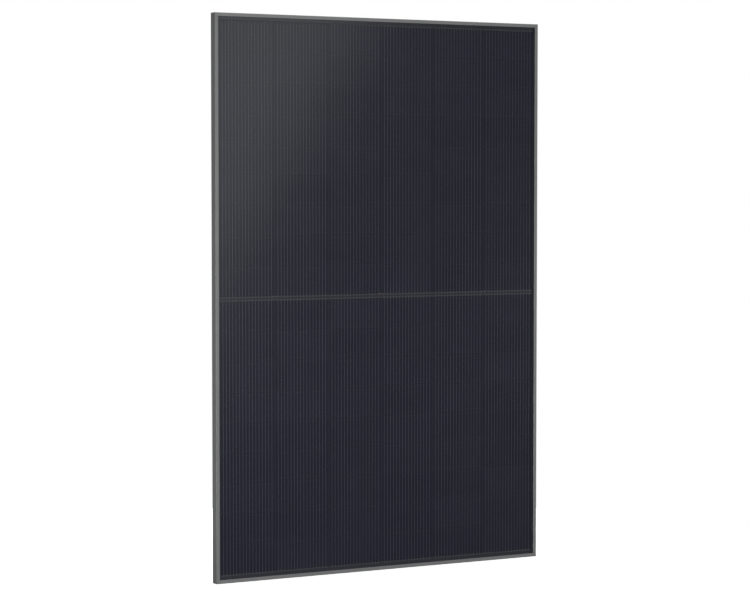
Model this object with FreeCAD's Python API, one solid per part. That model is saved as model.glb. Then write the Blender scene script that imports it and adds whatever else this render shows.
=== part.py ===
import FreeCAD, Part  # FreeCAD has to be loaded before Part
import math
import os

"""Framed all-black solar module with half-cut cells, built from its separate pieces.

x runs across the module, y from the sunny side to the rear, and z up its long side.
The origin is the middle of the bottom edge: halfway across and halfway through the depth.
All sizes are in millimetres. Depths called "back" are measured from the front of the frame's lip.
"""

Vector = FreeCAD.Vector
X_AXIS, Y_AXIS, Z_AXIS = Vector(1, 0, 0), Vector(0, 1, 0), Vector(0, 0, 1)

# Cell field: each column holds an upper and a lower string, with a gap between them.
COLUMNS = 6                    # even, because two columns share one bypass diode
ROWS_PER_HALF = 9
CELL_WIDTH = 182.0
CELL_HEIGHT = 91.0             # half of a square wafer
CELL_THICKNESS = 0.18
CELL_CHAMFER = 2.0             # the two wafer corners that a half-cell keeps
COLUMN_GAP = 2.0
ROW_GAP = 1.0
CENTRE_GAP = 16.0              # between the upper and the lower strings
SIDE_BORDER = 5.0              # clear glass between the lip and the cells
END_BORDER = 15.0

# Interconnect wires and bus ribbons
WIRES_PER_CELL = 16
WIRE_WIDTH = 0.3
WIRE_THICKNESS = 0.25
WIRE_STOP = 2.0                # bare cell beyond the end of a wire
RIBBON_WIDTH = 4.0
RIBBON_TO_CELL = 1.5
RIBBON_END_SPACE = 0.5         # from a ribbon's end to the side of its cell
LEAD_WIDTH = 4.0
LEAD_THICKNESS = 0.25
LEAD_FROM_GAP = 3.0            # from the middle of a column gap to the lead's near side
LEAD_SLOT_CLEARANCE = 0.5
LEAD_FOLD = 8.0                # the end that is folded down on its terminal

# Laminate
GLASS_THICKNESS = 3.2
GLASS_ARRIS = 0.5
ENCAPSULANT_THICKNESS = 0.45
BACKSHEET_THICKNESS = 0.35

# Frame rails: front lip, channel for the laminate, hollow chamber and rear flange
FRAME_DEPTH = 30.0
WALL = 1.4
LIP_WIDTH = 11.0
LIP_THICKNESS = 1.5
LIP_BEVEL = 0.7
SHELF_WIDTH = 11.0
CHAMBER_WIDTH = 10.0
LONG_FLANGE = 28.0
SHORT_FLANGE = 18.0
FLANGE_THICKNESS = 1.5
OUTER_RADIUS = 0.8
FLANGE_TIP_RADIUS = 0.6
ROOT_RADIUS = 1.0
MITRE_GAP = 0.2

# Sealant in the channel
EDGE_SEAL = 1.6                # between the laminate's edge and the rail's wall
FRONT_SEAL = 0.6
REAR_SEAL = 0.8
SEAL_SETBACK = 0.5             # the front seal stops short of the lip's edge
SEAL_BEAD = 2.5                # the bead smoothed against the backsheet

# Holes in the flanges
SLOT_WIDTH = 9.0
SLOT_LENGTH = 14.0
HOLE_INSET = 20.0              # from the module's side to the line of holes
OUTER_SLOT_FROM_END = 161.0
INNER_SLOT_FROM_END = 361.0
GROUND_HOLE_DIAMETER = 4.2
GROUND_HOLE_FROM_END = 261.0
DRAIN_WIDTH = 4.0
DRAIN_LENGTH = 12.0
DRAIN_FROM_END = 90.0

# Corner keys, pressed into the chambers and held by crimps in the chamber wall
KEY_ARM = 62.0
KEY_FIT = 0.15
KEY_TOOTH_PITCH = 6.0
KEY_TOOTH_DEPTH = 0.8
KEY_FIRST_TOOTH = 22.0         # from the outer corner
KEY_TAPER = 1.5
CRIMP_FROM_END = 44.0
CRIMP_LENGTH = 12.0
CRIMP_WIDTH = 3.0
CRIMP_DEPTH = 0.6

# Junction boxes, one for each pair of columns
ADHESIVE_THICKNESS = 1.0
ADHESIVE_SETBACK = 0.6
BOX_LENGTH = 88.0
BOX_WIDTH = 48.0
BOX_RADIUS = 6.0
BOX_WALL = 1.8
BOX_FLOOR = 1.6
BOX_RIM_OVER_NECK = 0.8
BOX_FOOT = 3.0                 # the rim round the foot of the base
BOX_FOOT_THICKNESS = 1.4
LID_THICKNESS = 1.8
LID_SKIRT_WALL = 1.3
LID_SKIRT_DEPTH = 5.0
LID_FIT = 0.2
LID_EDGE_BEVEL = 1.0
LATCH_WIDTH = 9.0
LATCH_HEIGHT = 2.0
LATCH_DEPTH = 0.9
LATCH_FROM_MIDDLE = 24.0
LEAD_WINDOW_MARGIN = 3.0
TERMINAL_TO_WALL = 13.2        # room for the cable's barrel at a terminal's outer end
TERMINAL_THICKNESS = 0.8
TERMINAL_HEIGHT = 3.0          # from the inside of the floor to the terminal's underside
TERMINAL_TO_LEAD = 0.2
TERMINAL_TAIL = 17.0           # how far the terminal reaches past the box's middle line
TERMINAL_PILLAR = 4.0
DIODE_LENGTH = 14.0
DIODE_WIDTH = 10.0
DIODE_HEIGHT = 3.2
DIODE_BEVEL = 0.5
DIODE_LEAD_LENGTH = 7.0
DIODE_LEAD_WIDTH = 3.0
DIODE_LEAD_THICKNESS = 0.6
DIODE_TO_LEAD_END = 1.0
POTTING_COVER = 1.0            # gel over the diode

# Cable glands, on the outer side of the two end boxes
CABLE_DIAMETER = 6.0
GLAND_SEAL_WALL = 1.3
GLAND_SEAL_LENGTH = 9.0
GLAND_SEAL_FIT = 0.1
NECK_WALL = 1.7
NECK_LENGTH = 12.0
NECK_STOP = 1.0                # shoulder that the seal is pushed against
NUT_WALL = 1.4
NUT_FIT = 0.15
NUT_END_WALL = 1.8
NUT_MOUTH_CLEARANCE = 0.6
NUT_RIBS = 18
NUT_RIB_DEPTH = 0.45
NUT_TO_FOOT = 0.5              # between the nut and the rim round the base
GLAND_TO_FOOT = 0.4            # air between the nut and the backsheet
BARREL_WALL = 0.8
BARREL_BORE = 2.8
BARREL_LENGTH = 8.0

# Rating label, blank
LABEL_WIDTH = 110.0
LABEL_HEIGHT = 70.0
LABEL_THICKNESS = 0.15
LABEL_RADIUS = 3.0
LABEL_ABOVE_MIDDLE = 130.0

# Overall size, from the cells outwards
FIELD_WIDTH = COLUMNS * CELL_WIDTH + (COLUMNS - 1) * COLUMN_GAP
WIRE_PITCH = (CELL_WIDTH + COLUMN_GAP) / (WIRES_PER_CELL + 1)   # carries on across the gap between columns
STRING_HEIGHT = ROWS_PER_HALF * CELL_HEIGHT + (ROWS_PER_HALF - 1) * ROW_GAP
MODULE_WIDTH = FIELD_WIDTH + 2 * (SIDE_BORDER + LIP_WIDTH)
MODULE_LENGTH = 2 * STRING_HEIGHT + CENTRE_GAP + 2 * (END_BORDER + LIP_WIDTH)
MIDDLE = MODULE_LENGTH / 2

# Depths of the layers, from the front of the lip backwards
GLASS_FRONT = LIP_THICKNESS + FRONT_SEAL
GLASS_BACK = GLASS_FRONT + GLASS_THICKNESS
FRONT_WIRES = GLASS_BACK + ENCAPSULANT_THICKNESS
CELL_FRONT = FRONT_WIRES + WIRE_THICKNESS
CELL_BACK = CELL_FRONT + CELL_THICKNESS
REAR_WIRES_BACK = CELL_BACK + max(WIRE_THICKNESS, LEAD_THICKNESS)
BACKSHEET_FRONT = REAR_WIRES_BACK + ENCAPSULANT_THICKNESS
BACKSHEET_BACK = BACKSHEET_FRONT + BACKSHEET_THICKNESS
SHELF_FRONT = BACKSHEET_BACK + REAR_SEAL
CHAMBER_FRONT = SHELF_FRONT + WALL
CHAMBER_BACK = FRAME_DEPTH - FLANGE_THICKNESS
LAMINATE_INSET = WALL + EDGE_SEAL

# Depths in a junction box
BOX_FRONT = BACKSHEET_BACK + ADHESIVE_THICKNESS
FLOOR_BACK = BOX_FRONT + BOX_FLOOR
TERMINAL_FRONT = FLOOR_BACK + TERMINAL_HEIGHT
TERMINAL_BACK = TERMINAL_FRONT + TERMINAL_THICKNESS
DIODE_BACK = TERMINAL_BACK + DIODE_HEIGHT
POTTING_BACK = DIODE_BACK + POTTING_COVER
TERMINAL_LENGTH = BOX_LENGTH / 2 - BOX_WALL - TERMINAL_TO_WALL - LEAD_FROM_GAP
SEAL_RADIUS = CABLE_DIAMETER / 2 + GLAND_SEAL_WALL
NECK_BORE_RADIUS = SEAL_RADIUS + GLAND_SEAL_FIT
NECK_RADIUS = NECK_BORE_RADIUS + NECK_WALL
NUT_RADIUS = NECK_RADIUS + NUT_FIT + NUT_WALL
GLAND_BACK = BACKSHEET_BACK + GLAND_TO_FOOT + NUT_RADIUS
BASE_BACK = GLAND_BACK + NECK_RADIUS + BOX_RIM_OVER_NECK
LEAD_RISER = CENTRE_GAP / 2 - RIBBON_TO_CELL   # the leads turn rearwards at the upper ribbon's far side


def y_at(back):
    """The y of a depth measured from the front of the lip."""
    return back - FRAME_DEPTH / 2


def block(x0, x1, back0, back1, z0, z1):
    """A rectangular solid between two x, two depths and two z."""
    return Part.makeBox(x1 - x0, back1 - back0, z1 - z0, Vector(x0, y_at(back0), z0))


def outline(points, radii=None):
    """A closed wire through points, with the corners that radii names by index rounded."""
    radii = radii or {}
    count = len(points)
    edges, start = [], None
    arcs = {}
    for i, radius in radii.items():
        here, before, after = points[i], points[i - 1], points[(i + 1) % count]
        back = (before - here).normalize()
        on = (after - here).normalize()
        half = back.getAngle(on) / 2
        reach = radius / math.tan(half)
        middle = (back + on).normalize()
        nearest = here + middle * (radius / math.sin(half) - radius)
        arcs[i] = (here + back * reach, nearest, here + on * reach)
    for i in range(count):
        if i in arcs:
            first, nearest, last = arcs[i]
        else:
            first = last = points[i]
            nearest = None
        if start is not None:
            edges.append(Part.LineSegment(start, first).toShape())
        if nearest is not None:
            edges.append(Part.Arc(first, nearest, last).toShape())
        start = last
    opening = arcs[0][0] if 0 in arcs else points[0]
    edges.append(Part.LineSegment(start, opening).toShape())
    return Part.Wire(Part.__sortEdges__(edges))


def prism(points, direction, radii=None):
    """A solid: the outline through points, pushed along direction."""
    return Part.Face(outline(points, radii)).extrude(direction)


def rounded_block(x0, x1, back0, back1, z0, z1, radius):
    """A block whose four edges along y are rounded."""
    corners = [Vector(x, y_at(back0), z) for x, z in ((x0, z0), (x1, z0), (x1, z1), (x0, z1))]
    return prism(corners, Y_AXIS * (back1 - back0), {i: radius for i in range(4)})


def rod(x0, x1, back, z, radius):
    """A round bar along x."""
    return Part.makeCylinder(radius, x1 - x0, Vector(x0, y_at(back), z), X_AXIS)


def one_solid(shape):
    """The shape with its coplanar faces joined."""
    return shape.removeSplitter()


def column_left(column):
    """x of the left side of a column's cells. Columns are counted from 0 at the left."""
    return -FIELD_WIDTH / 2 + column * (CELL_WIDTH + COLUMN_GAP)


def cell_span(half, row):
    """The lower and the upper z of a cell. half is 1 for the upper strings and -1 for the lower ones;
    rows are counted outwards from the module's middle line."""
    near = CENTRE_GAP / 2 + row * (CELL_HEIGHT + ROW_GAP)
    ends = (MIDDLE + half * near, MIDDLE + half * (near + CELL_HEIGHT))
    return min(ends), max(ends)


# ---------------------------------------------------------------- frame

def rail_section(flange):
    """The rail's outline and its chamber, as (from the outer face, depth) pairs."""
    outer = [
        (0, 0),
        (LIP_WIDTH - LIP_BEVEL, 0),
        (LIP_WIDTH, LIP_BEVEL),
        (LIP_WIDTH, LIP_THICKNESS),
        (WALL, LIP_THICKNESS),
        (WALL, SHELF_FRONT),
        (SHELF_WIDTH, SHELF_FRONT),
        (SHELF_WIDTH, CHAMBER_FRONT),
        (CHAMBER_WIDTH, CHAMBER_FRONT),
        (CHAMBER_WIDTH, CHAMBER_BACK),
        (flange, CHAMBER_BACK),
        (flange, FRAME_DEPTH),
        (0, FRAME_DEPTH),
    ]
    radii = {0: OUTER_RADIUS, 9: ROOT_RADIUS, 10: FLANGE_TIP_RADIUS, 11: FLANGE_TIP_RADIUS, 12: OUTER_RADIUS}
    chamber = [
        (WALL, CHAMBER_FRONT),
        (CHAMBER_WIDTH - WALL, CHAMBER_FRONT),
        (CHAMBER_WIDTH - WALL, CHAMBER_BACK),
        (WALL, CHAMBER_BACK),
    ]
    return outer, radii, chamber


def left_bar(section, radii=None, gap=0.0):
    """A bar of this section down the left side. Both ends are mitred and set back by half the gap."""
    left = -MODULE_WIDTH / 2
    corners = [Vector(left + u, y_at(back), 0) for u, back in section]
    bar = prism(corners, Z_AXIS * MODULE_LENGTH, radii)
    reach = max(u for u, _ in section) + 1
    start = gap / 2 * math.sqrt(2)
    room = [(left, start), (left + reach, start + reach),
            (left + reach, MODULE_LENGTH - start - reach), (left, MODULE_LENGTH - start)]
    mitre = prism([Vector(x, y_at(-1), z) for x, z in room], Y_AXIS * (FRAME_DEPTH + 2))
    return bar.common(mitre)


def bottom_bar(section, radii=None, gap=0.0):
    """The same along the module's bottom edge."""
    left = -MODULE_WIDTH / 2
    corners = [Vector(left, y_at(back), u) for u, back in section]
    bar = prism(corners, X_AXIS * MODULE_WIDTH, radii)
    reach = max(u for u, _ in section) + 1
    start = gap / 2 * math.sqrt(2)
    room = [(left + start, 0), (left + start + reach, reach),
            (-left - start - reach, reach), (-left - start, 0)]
    mitre = prism([Vector(x, y_at(-1), z) for x, z in room], Y_AXIS * (FRAME_DEPTH + 2))
    return bar.common(mitre)


def mirror_x(shape):
    return shape.mirror(Vector(0, 0, 0), X_AXIS)


def mirror_z(shape):
    """The shape on the other side of the module's middle line."""
    return shape.mirror(Vector(0, 0, MIDDLE), Z_AXIS)


def through_hole(x, z, radius):
    """A cutter for a round hole in a flange."""
    start = Vector(x, y_at(CHAMBER_BACK) - FLANGE_THICKNESS / 2, z)
    return Part.makeCylinder(radius, 2 * FLANGE_THICKNESS, start, Y_AXIS)


def through_slot(x, z, width, length, along):
    """A cutter for a round-ended slot in a flange, centred on x, z and running along x or z."""
    reach = (length - width) / 2
    ends = [Vector(x, 0, z) - along * reach, Vector(x, 0, z) + along * reach]
    across = Vector(along.z, 0, along.x) * (width / 2)
    corners = [ends[0] - across, ends[1] - across, ends[1] + across, ends[0] + across]
    cutter = prism(corners, Y_AXIS * (2 * FLANGE_THICKNESS))
    cutter.translate(Vector(0, y_at(CHAMBER_BACK) - FLANGE_THICKNESS / 2, 0))
    rounds = [through_hole(end.x, end.z, width / 2) for end in ends]
    return cutter.fuse(rounds)


def crimp_blocks(on_side, near, far):
    """The blocks at the crimps, one near each end of a left or a bottom rail, between two distances from
    the rail's outer face."""
    middle = (CHAMBER_FRONT + CHAMBER_BACK) / 2
    front, back = middle - CRIMP_LENGTH / 2, middle + CRIMP_LENGTH / 2
    half = CRIMP_WIDTH / 2
    left = -MODULE_WIDTH / 2
    if on_side:
        return [block(left + near, left + far, front, back, z - half, z + half)
                for z in (CRIMP_FROM_END, MODULE_LENGTH - CRIMP_FROM_END)]
    return [block(x - half, x + half, front, back, near, far)
            for x in (left + CRIMP_FROM_END, -left - CRIMP_FROM_END)]


def crimped(rail, on_side):
    """The rail with its crimps: a pocket outside the chamber's wall, and a dent inside that meets the key."""
    dents = crimp_blocks(on_side, CHAMBER_WIDTH - WALL - KEY_FIT, CHAMBER_WIDTH - WALL / 2)
    pockets = crimp_blocks(on_side, CHAMBER_WIDTH - CRIMP_DEPTH, CHAMBER_WIDTH + 1)
    return rail.fuse(dents).cut(pockets)


def side_rail():
    """The left rail: mounting slots, grounding holes and crimps in the long profile."""
    outer, radii, chamber = rail_section(LONG_FLANGE)
    bar = left_bar(outer, radii, MITRE_GAP).cut(left_bar(chamber))
    x = -MODULE_WIDTH / 2 + HOLE_INSET
    cutters = []
    for from_end in (OUTER_SLOT_FROM_END, INNER_SLOT_FROM_END):
        for z in (from_end, MODULE_LENGTH - from_end):
            cutters.append(through_slot(x, z, SLOT_WIDTH, SLOT_LENGTH, Z_AXIS))
    for z in (GROUND_HOLE_FROM_END, MODULE_LENGTH - GROUND_HOLE_FROM_END):
        cutters.append(through_hole(x, z, GROUND_HOLE_DIAMETER / 2))
    return crimped(bar.cut(cutters), True)


def end_rail():
    """The bottom rail: drain slots and crimps in the short profile."""
    outer, radii, chamber = rail_section(SHORT_FLANGE)
    bar = bottom_bar(outer, radii, MITRE_GAP).cut(bottom_bar(chamber))
    z = (CHAMBER_WIDTH + SHORT_FLANGE) / 2
    cutters = [through_slot(x, z, DRAIN_WIDTH, DRAIN_LENGTH, X_AXIS)
               for x in (-MODULE_WIDTH / 2 + DRAIN_FROM_END, MODULE_WIDTH / 2 - DRAIN_FROM_END)]
    return crimped(bar.cut(cutters), False)


def corner_key():
    """The toothed L-shaped key in the bottom left corner."""
    near, far = WALL + KEY_FIT, CHAMBER_WIDTH - WALL - KEY_FIT
    corners = [
        (near, near), (KEY_ARM - KEY_TAPER, near), (KEY_ARM, near + KEY_TAPER), (KEY_ARM, far - KEY_TAPER),
        (KEY_ARM - KEY_TAPER, far), (far, far), (far, KEY_ARM - KEY_TAPER), (far - KEY_TAPER, KEY_ARM),
        (near + KEY_TAPER, KEY_ARM), (near, KEY_ARM - KEY_TAPER),
    ]
    left = -MODULE_WIDTH / 2
    front, back = CHAMBER_FRONT + KEY_FIT, CHAMBER_BACK - KEY_FIT
    depth = Y_AXIS * (back - front)
    key = prism([Vector(left + u, y_at(front), v) for u, v in corners], depth)
    teeth = []
    along = KEY_FIRST_TOOTH
    while along + KEY_TOOTH_PITCH < KEY_ARM - KEY_TAPER:
        for edge, inwards in ((near, 1), (far, -1)):
            notch = [(along, edge), (along + KEY_TOOTH_DEPTH, edge + inwards * KEY_TOOTH_DEPTH),
                     (along + KEY_TOOTH_PITCH / 2, edge)]
            teeth.append(prism([Vector(left + u, y_at(front), v) for u, v in notch], depth))
            teeth.append(prism([Vector(left + v, y_at(front), u) for u, v in notch], depth))
        along += KEY_TOOTH_PITCH
    return key.cut(teeth)


def four_corners(shape):
    """The bottom left piece and its copies in the other corners."""
    pair = [shape, mirror_x(shape)]
    return pair + [mirror_z(piece) for piece in pair]


def frame_sealant():
    """Black silicone round the laminate's edge, with a bead against the backsheet."""
    inner = LIP_WIDTH - SEAL_SETBACK
    section = [
        (WALL, LIP_THICKNESS), (inner, LIP_THICKNESS), (inner, GLASS_FRONT), (LAMINATE_INSET, GLASS_FRONT),
        (LAMINATE_INSET, BACKSHEET_BACK), (SHELF_WIDTH + SEAL_BEAD, BACKSHEET_BACK),
        (SHELF_WIDTH, SHELF_FRONT), (WALL, SHELF_FRONT),
    ]
    side, end = left_bar(section), bottom_bar(section)
    return one_solid(side.fuse([end, mirror_x(side), mirror_z(end)]))


# ---------------------------------------------------------------- laminate

def sheet(back0, back1):
    """A layer of the laminate's full size."""
    half = MODULE_WIDTH / 2 - LAMINATE_INSET
    return block(-half, half, back0, back1, LAMINATE_INSET, MODULE_LENGTH - LAMINATE_INSET)


def front_glass():
    """Toughened front glass with its edges ground."""
    glass = sheet(GLASS_FRONT, GLASS_BACK)
    return glass.makeChamfer(GLASS_ARRIS, glass.Edges)


def lead_places():
    """The x span of each lead: two at each junction box, one on each side of a column gap."""
    spans = []
    for x in box_middles():
        spans.append((x - LEAD_FROM_GAP - LEAD_WIDTH, x - LEAD_FROM_GAP))
        spans.append((x + LEAD_FROM_GAP, x + LEAD_FROM_GAP + LEAD_WIDTH))
    return spans


def lead_slots():
    """Cutters that let the leads through the rear layers."""
    room = LEAD_SLOT_CLEARANCE
    z1 = MIDDLE + LEAD_RISER
    return [block(x0 - room, x1 + room, CELL_BACK, BACKSHEET_BACK + 1, z1 - LEAD_THICKNESS - room, z1 + room)
            for x0, x1 in lead_places()]


def cell(column, half, row):
    """A half-cell. The corners away from the wafer's cut edge are chamfered."""
    x0 = column_left(column)
    x1 = x0 + CELL_WIDTH
    z0, z1 = cell_span(half, row)
    c = CELL_CHAMFER
    if half > 0:
        corners = [(x0, z0), (x1, z0), (x1, z1 - c), (x1 - c, z1), (x0 + c, z1), (x0, z1 - c)]
    else:
        corners = [(x0 + c, z0), (x1 - c, z0), (x1, z0 + c), (x1, z1), (x0, z1), (x0, z0 + c)]
    return prism([Vector(x, y_at(CELL_FRONT), z) for x, z in corners], Y_AXIS * CELL_THICKNESS)


def cell_string(column, half):
    return [cell(column, half, row) for row in range(ROWS_PER_HALF)]


def wire_places(column):
    """The x of the middle of each wire on a column's cells."""
    gap_middle = column_left(column) - COLUMN_GAP / 2
    return [gap_middle + (i + 1) * WIRE_PITCH for i in range(WIRES_PER_CELL)]


def wire_run(points):
    """One wire of a string, from the (distance from the middle line, depth) points round its edge."""
    return lambda x, half: prism(
        [Vector(x - WIRE_WIDTH / 2, y_at(back), MIDDLE + half * away) for away, back in points],
        X_AXIS * WIRE_WIDTH)


def string_wires(column, half):
    """Every wire of a string. Each one runs over the front of a cell and under its neighbour. Columns 0, 2
    and 4 step rearwards on the way out and the others on the way in, so that two columns join in series."""
    outwards = column % 2 == 0
    near = [CENTRE_GAP / 2 + row * (CELL_HEIGHT + ROW_GAP) for row in range(ROWS_PER_HALF)]
    far = [place + CELL_HEIGHT for place in near]
    front, rear = (FRONT_WIRES, CELL_FRONT), (CELL_BACK, CELL_BACK + WIRE_THICKNESS)
    inner_end = CENTRE_GAP / 2 - RIBBON_TO_CELL - RIBBON_WIDTH
    outer_end = far[-1] + RIBBON_TO_CELL + RIBBON_WIDTH
    runs = []
    for row in range(ROWS_PER_HALF - 1):
        low, high = near[row] + WIRE_STOP, far[row + 1] - WIRE_STOP
        gap0, gap1 = far[row], near[row + 1]
        a, b = (front, rear) if outwards else (rear, front)
        runs.append([(low, a[0]), (gap0, a[0]), (gap1, b[0]), (high, b[0]),
                     (high, b[1]), (gap1, b[1]), (gap0, a[1]), (low, a[1])])
    first, last = (rear, front) if outwards else (front, rear)
    ends = (first, inner_end, far[0] - WIRE_STOP), (last, near[-1] + WIRE_STOP, outer_end)
    for plane, start, end in ends:
        runs.append([(start, plane[0]), (end, plane[0]), (end, plane[1]), (start, plane[1])])
    makers = [wire_run(points) for points in runs]
    return [make(x, half) for x in wire_places(column) for make in makers]


def ribbon(first_column, last_column, z0):
    """A bus ribbon in the plane of the cells, across these columns."""
    x0 = column_left(first_column) + RIBBON_END_SPACE
    x1 = column_left(last_column) + CELL_WIDTH - RIBBON_END_SPACE
    return block(x0, x1, CELL_FRONT, CELL_BACK, z0, z0 + RIBBON_WIDTH)


def end_ribbons(half):
    """The ribbons that join two columns at their outer ends."""
    z0, z1 = cell_span(half, ROWS_PER_HALF - 1)
    start = z1 + RIBBON_TO_CELL if half > 0 else z0 - RIBBON_TO_CELL - RIBBON_WIDTH
    return [ribbon(column, column + 1, start) for column in range(0, COLUMNS, 2)]


def centre_ribbons():
    """The ribbons in the centre gap, for the upper and the lower strings. They stop at each junction box."""
    near = CENTRE_GAP / 2 - RIBBON_TO_CELL
    last = COLUMNS - 1
    groups = [(0, 0)] + [(column, column + 1) for column in range(1, last, 2)] + [(last, last)]
    starts = (MIDDLE - near, MIDDLE + near - RIBBON_WIDTH)
    return [ribbon(a, b, z0) for a, b in groups for z0 in starts]


def ribbon_leads():
    """Folded strips that join the two centre ribbons and carry their current to the terminals."""
    t, riser = LEAD_THICKNESS, LEAD_RISER
    fold_front = TERMINAL_BACK
    shape = [
        (-riser, CELL_BACK), (riser, CELL_BACK), (riser, fold_front + t),
        (riser - LEAD_FOLD, fold_front + t), (riser - LEAD_FOLD, fold_front),
        (riser - t, fold_front), (riser - t, CELL_BACK + t), (-riser, CELL_BACK + t),
    ]
    return [prism([Vector(x0, y_at(back), MIDDLE + z) for z, back in shape], X_AXIS * (x1 - x0))
            for x0, x1 in lead_places()]


# ---------------------------------------------------------------- junction boxes

def box_middles():
    """The x of each junction box: over the gap inside each pair of columns."""
    return [column_left(column) - COLUMN_GAP / 2 for column in range(1, COLUMNS, 2)]


def box_room(x, grow, back0, back1):
    """A rounded block over a box's plan, grown by this much on every side."""
    half_x, half_z = BOX_LENGTH / 2 + grow, BOX_WIDTH / 2 + grow
    z0, z1 = MIDDLE - half_z, MIDDLE + half_z
    return rounded_block(x - half_x, x + half_x, back0, back1, z0, z1, BOX_RADIUS + grow)


def lead_window(x, back0, back1):
    """The opening in a box's floor that both leads come through."""
    half = LEAD_FROM_GAP + LEAD_WIDTH + LEAD_WINDOW_MARGIN
    z = MIDDLE + LEAD_RISER
    return block(x - half, x + half, back0, back1, z - LEAD_WINDOW_MARGIN, z + LEAD_WINDOW_MARGIN)


def along_gland(x, side, start, end, radius):
    """A round bar on the gland's axis. start and end are distances outwards from the box's wall."""
    wall = x + side * BOX_LENGTH / 2
    ends = sorted((wall + side * start, wall + side * end))
    return rod(ends[0], ends[1], GLAND_BACK, MIDDLE, radius)


def latch_places(x):
    """The x of the middle of each latch: two on each long side of a box."""
    return [x - LATCH_FROM_MIDDLE, x + LATCH_FROM_MIDDLE]


def latch_depths():
    back = BASE_BACK - LID_SKIRT_DEPTH + LATCH_HEIGHT
    return back - LATCH_HEIGHT / 2, back + LATCH_HEIGHT / 2


def pillars(x):
    """The posts on the floor that the terminals stand on."""
    reach = LEAD_FROM_GAP + TERMINAL_LENGTH - TERMINAL_PILLAR
    z = MIDDLE - TERMINAL_TAIL + TERMINAL_PILLAR / 2
    spots = [(side * along, height) for side in (-1, 1) for along in (LEAD_FROM_GAP + TERMINAL_PILLAR, reach)
             for height in (z, MIDDLE)]
    half = TERMINAL_PILLAR / 2
    return [block(x + a - half, x + a + half, FLOOR_BACK, TERMINAL_FRONT, z0 - half, z0 + half)
            for a, z0 in spots]


def junction_base(x, side):
    """The open tray of a box. side is -1 or 1 for a gland on that side, and 0 for none."""
    base = box_room(x, 0, BOX_FRONT, BASE_BACK)
    base = base.fuse(box_room(x, BOX_FOOT, BOX_FRONT, BOX_FRONT + BOX_FOOT_THICKNESS))
    if side:
        base = base.fuse(along_gland(x, side, -BOX_WALL, NECK_LENGTH, NECK_RADIUS))
    base = base.cut(box_room(x, -BOX_WALL, FLOOR_BACK, BASE_BACK + 1))
    base = base.fuse(pillars(x))
    front, back = latch_depths()
    edge, half = BOX_WIDTH / 2, LATCH_WIDTH / 2
    hooks = [block(a - half, a + half, front, back, MIDDLE + z0, MIDDLE + z0 + LATCH_DEPTH)
             for a in latch_places(x) for z0 in (-edge - LATCH_DEPTH, edge)]
    base = base.fuse(hooks).cut(lead_window(x, BOX_FRONT - 1, FLOOR_BACK + 1))
    if side:
        shoulder = NECK_LENGTH - GLAND_SEAL_LENGTH
        base = base.cut(along_gland(x, side, shoulder, NECK_LENGTH + 1, NECK_BORE_RADIUS))
        base = base.cut(along_gland(x, side, -BOX_WALL - 1, NECK_LENGTH, NECK_BORE_RADIUS - NECK_STOP))
    return one_solid(base)


def junction_lid(x, side):
    """A snap-on lid whose skirt goes outside the base, with windows for the latches."""
    grow = LID_FIT + LID_SKIRT_WALL
    front, back = BASE_BACK - LID_SKIRT_DEPTH, BASE_BACK + LID_THICKNESS
    lid = box_room(x, grow, front, back)
    rear_edges = [edge for edge in lid.Edges if min(v.Y for v in edge.Vertexes) > y_at(back) - 0.01]
    lid = lid.makeChamfer(LID_EDGE_BEVEL, rear_edges).cut(box_room(x, LID_FIT, front - 1, BASE_BACK))
    low, high = latch_depths()
    half_x, reach = LATCH_WIDTH / 2 + LID_FIT, BOX_WIDTH / 2 + grow + 1
    windows = [block(a - half_x, a + half_x, low - LID_FIT, high + LID_FIT, MIDDLE - reach, MIDDLE + reach)
               for a in latch_places(x)]
    if side:
        windows.append(along_gland(x, side, -BOX_WALL, NECK_LENGTH, NECK_RADIUS + LID_FIT))
    return lid.cut(windows)


def terminal_span(x, side):
    """The inner and the outer x of the terminal on one side of a box's middle."""
    return x + side * LEAD_FROM_GAP, x + side * (LEAD_FROM_GAP + TERMINAL_LENGTH)


def terminals(x, gland_side):
    """The two tinned plates that the leads and the diode are soldered to, with a crimp barrel for a cable."""
    z0, z1 = MIDDLE - TERMINAL_TAIL, MIDDLE + LEAD_RISER - LEAD_THICKNESS - TERMINAL_TO_LEAD
    plates = []
    for side in (-1, 1):
        inner, outer = terminal_span(x, side)
        plate = block(min(inner, outer), max(inner, outer), TERMINAL_FRONT, TERMINAL_BACK, z0, z1)
        if side == gland_side:
            radius = BARREL_BORE / 2 + BARREL_WALL
            ends = sorted((outer, outer + side * BARREL_LENGTH))
            bar = rod(ends[0], ends[1], GLAND_BACK, MIDDLE, radius)
            tab = block(min(outer - side * 4, outer), max(outer - side * 4, outer), TERMINAL_FRONT,
                        GLAND_BACK + radius, MIDDLE - radius, MIDDLE + radius)
            bore = rod(ends[0] - 1, ends[1] + 1, GLAND_BACK, MIDDLE, BARREL_BORE / 2)
            plate = one_solid(plate.fuse([bar, tab])).cut(bore)
        plates.append(plate)
    return plates


def bypass_diode(x):
    """A flat diode that bridges the two terminals."""
    z1 = MIDDLE + LEAD_RISER - LEAD_FOLD - DIODE_TO_LEAD_END
    z0, half = z1 - DIODE_WIDTH, DIODE_LENGTH / 2
    body = block(x - half, x + half, TERMINAL_BACK, DIODE_BACK, z0, z1)
    rear = [edge for edge in body.Edges if min(v.Y for v in edge.Vertexes) > y_at(DIODE_BACK) - 0.01]
    body = body.makeChamfer(DIODE_BEVEL, rear)
    reach = half + DIODE_LEAD_LENGTH
    middle = (z0 + z1) / 2
    strip = block(x - reach, x + reach, TERMINAL_BACK, TERMINAL_BACK + DIODE_LEAD_THICKNESS,
                  middle - DIODE_LEAD_WIDTH / 2, middle + DIODE_LEAD_WIDTH / 2)
    return one_solid(body.fuse(strip))


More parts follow.
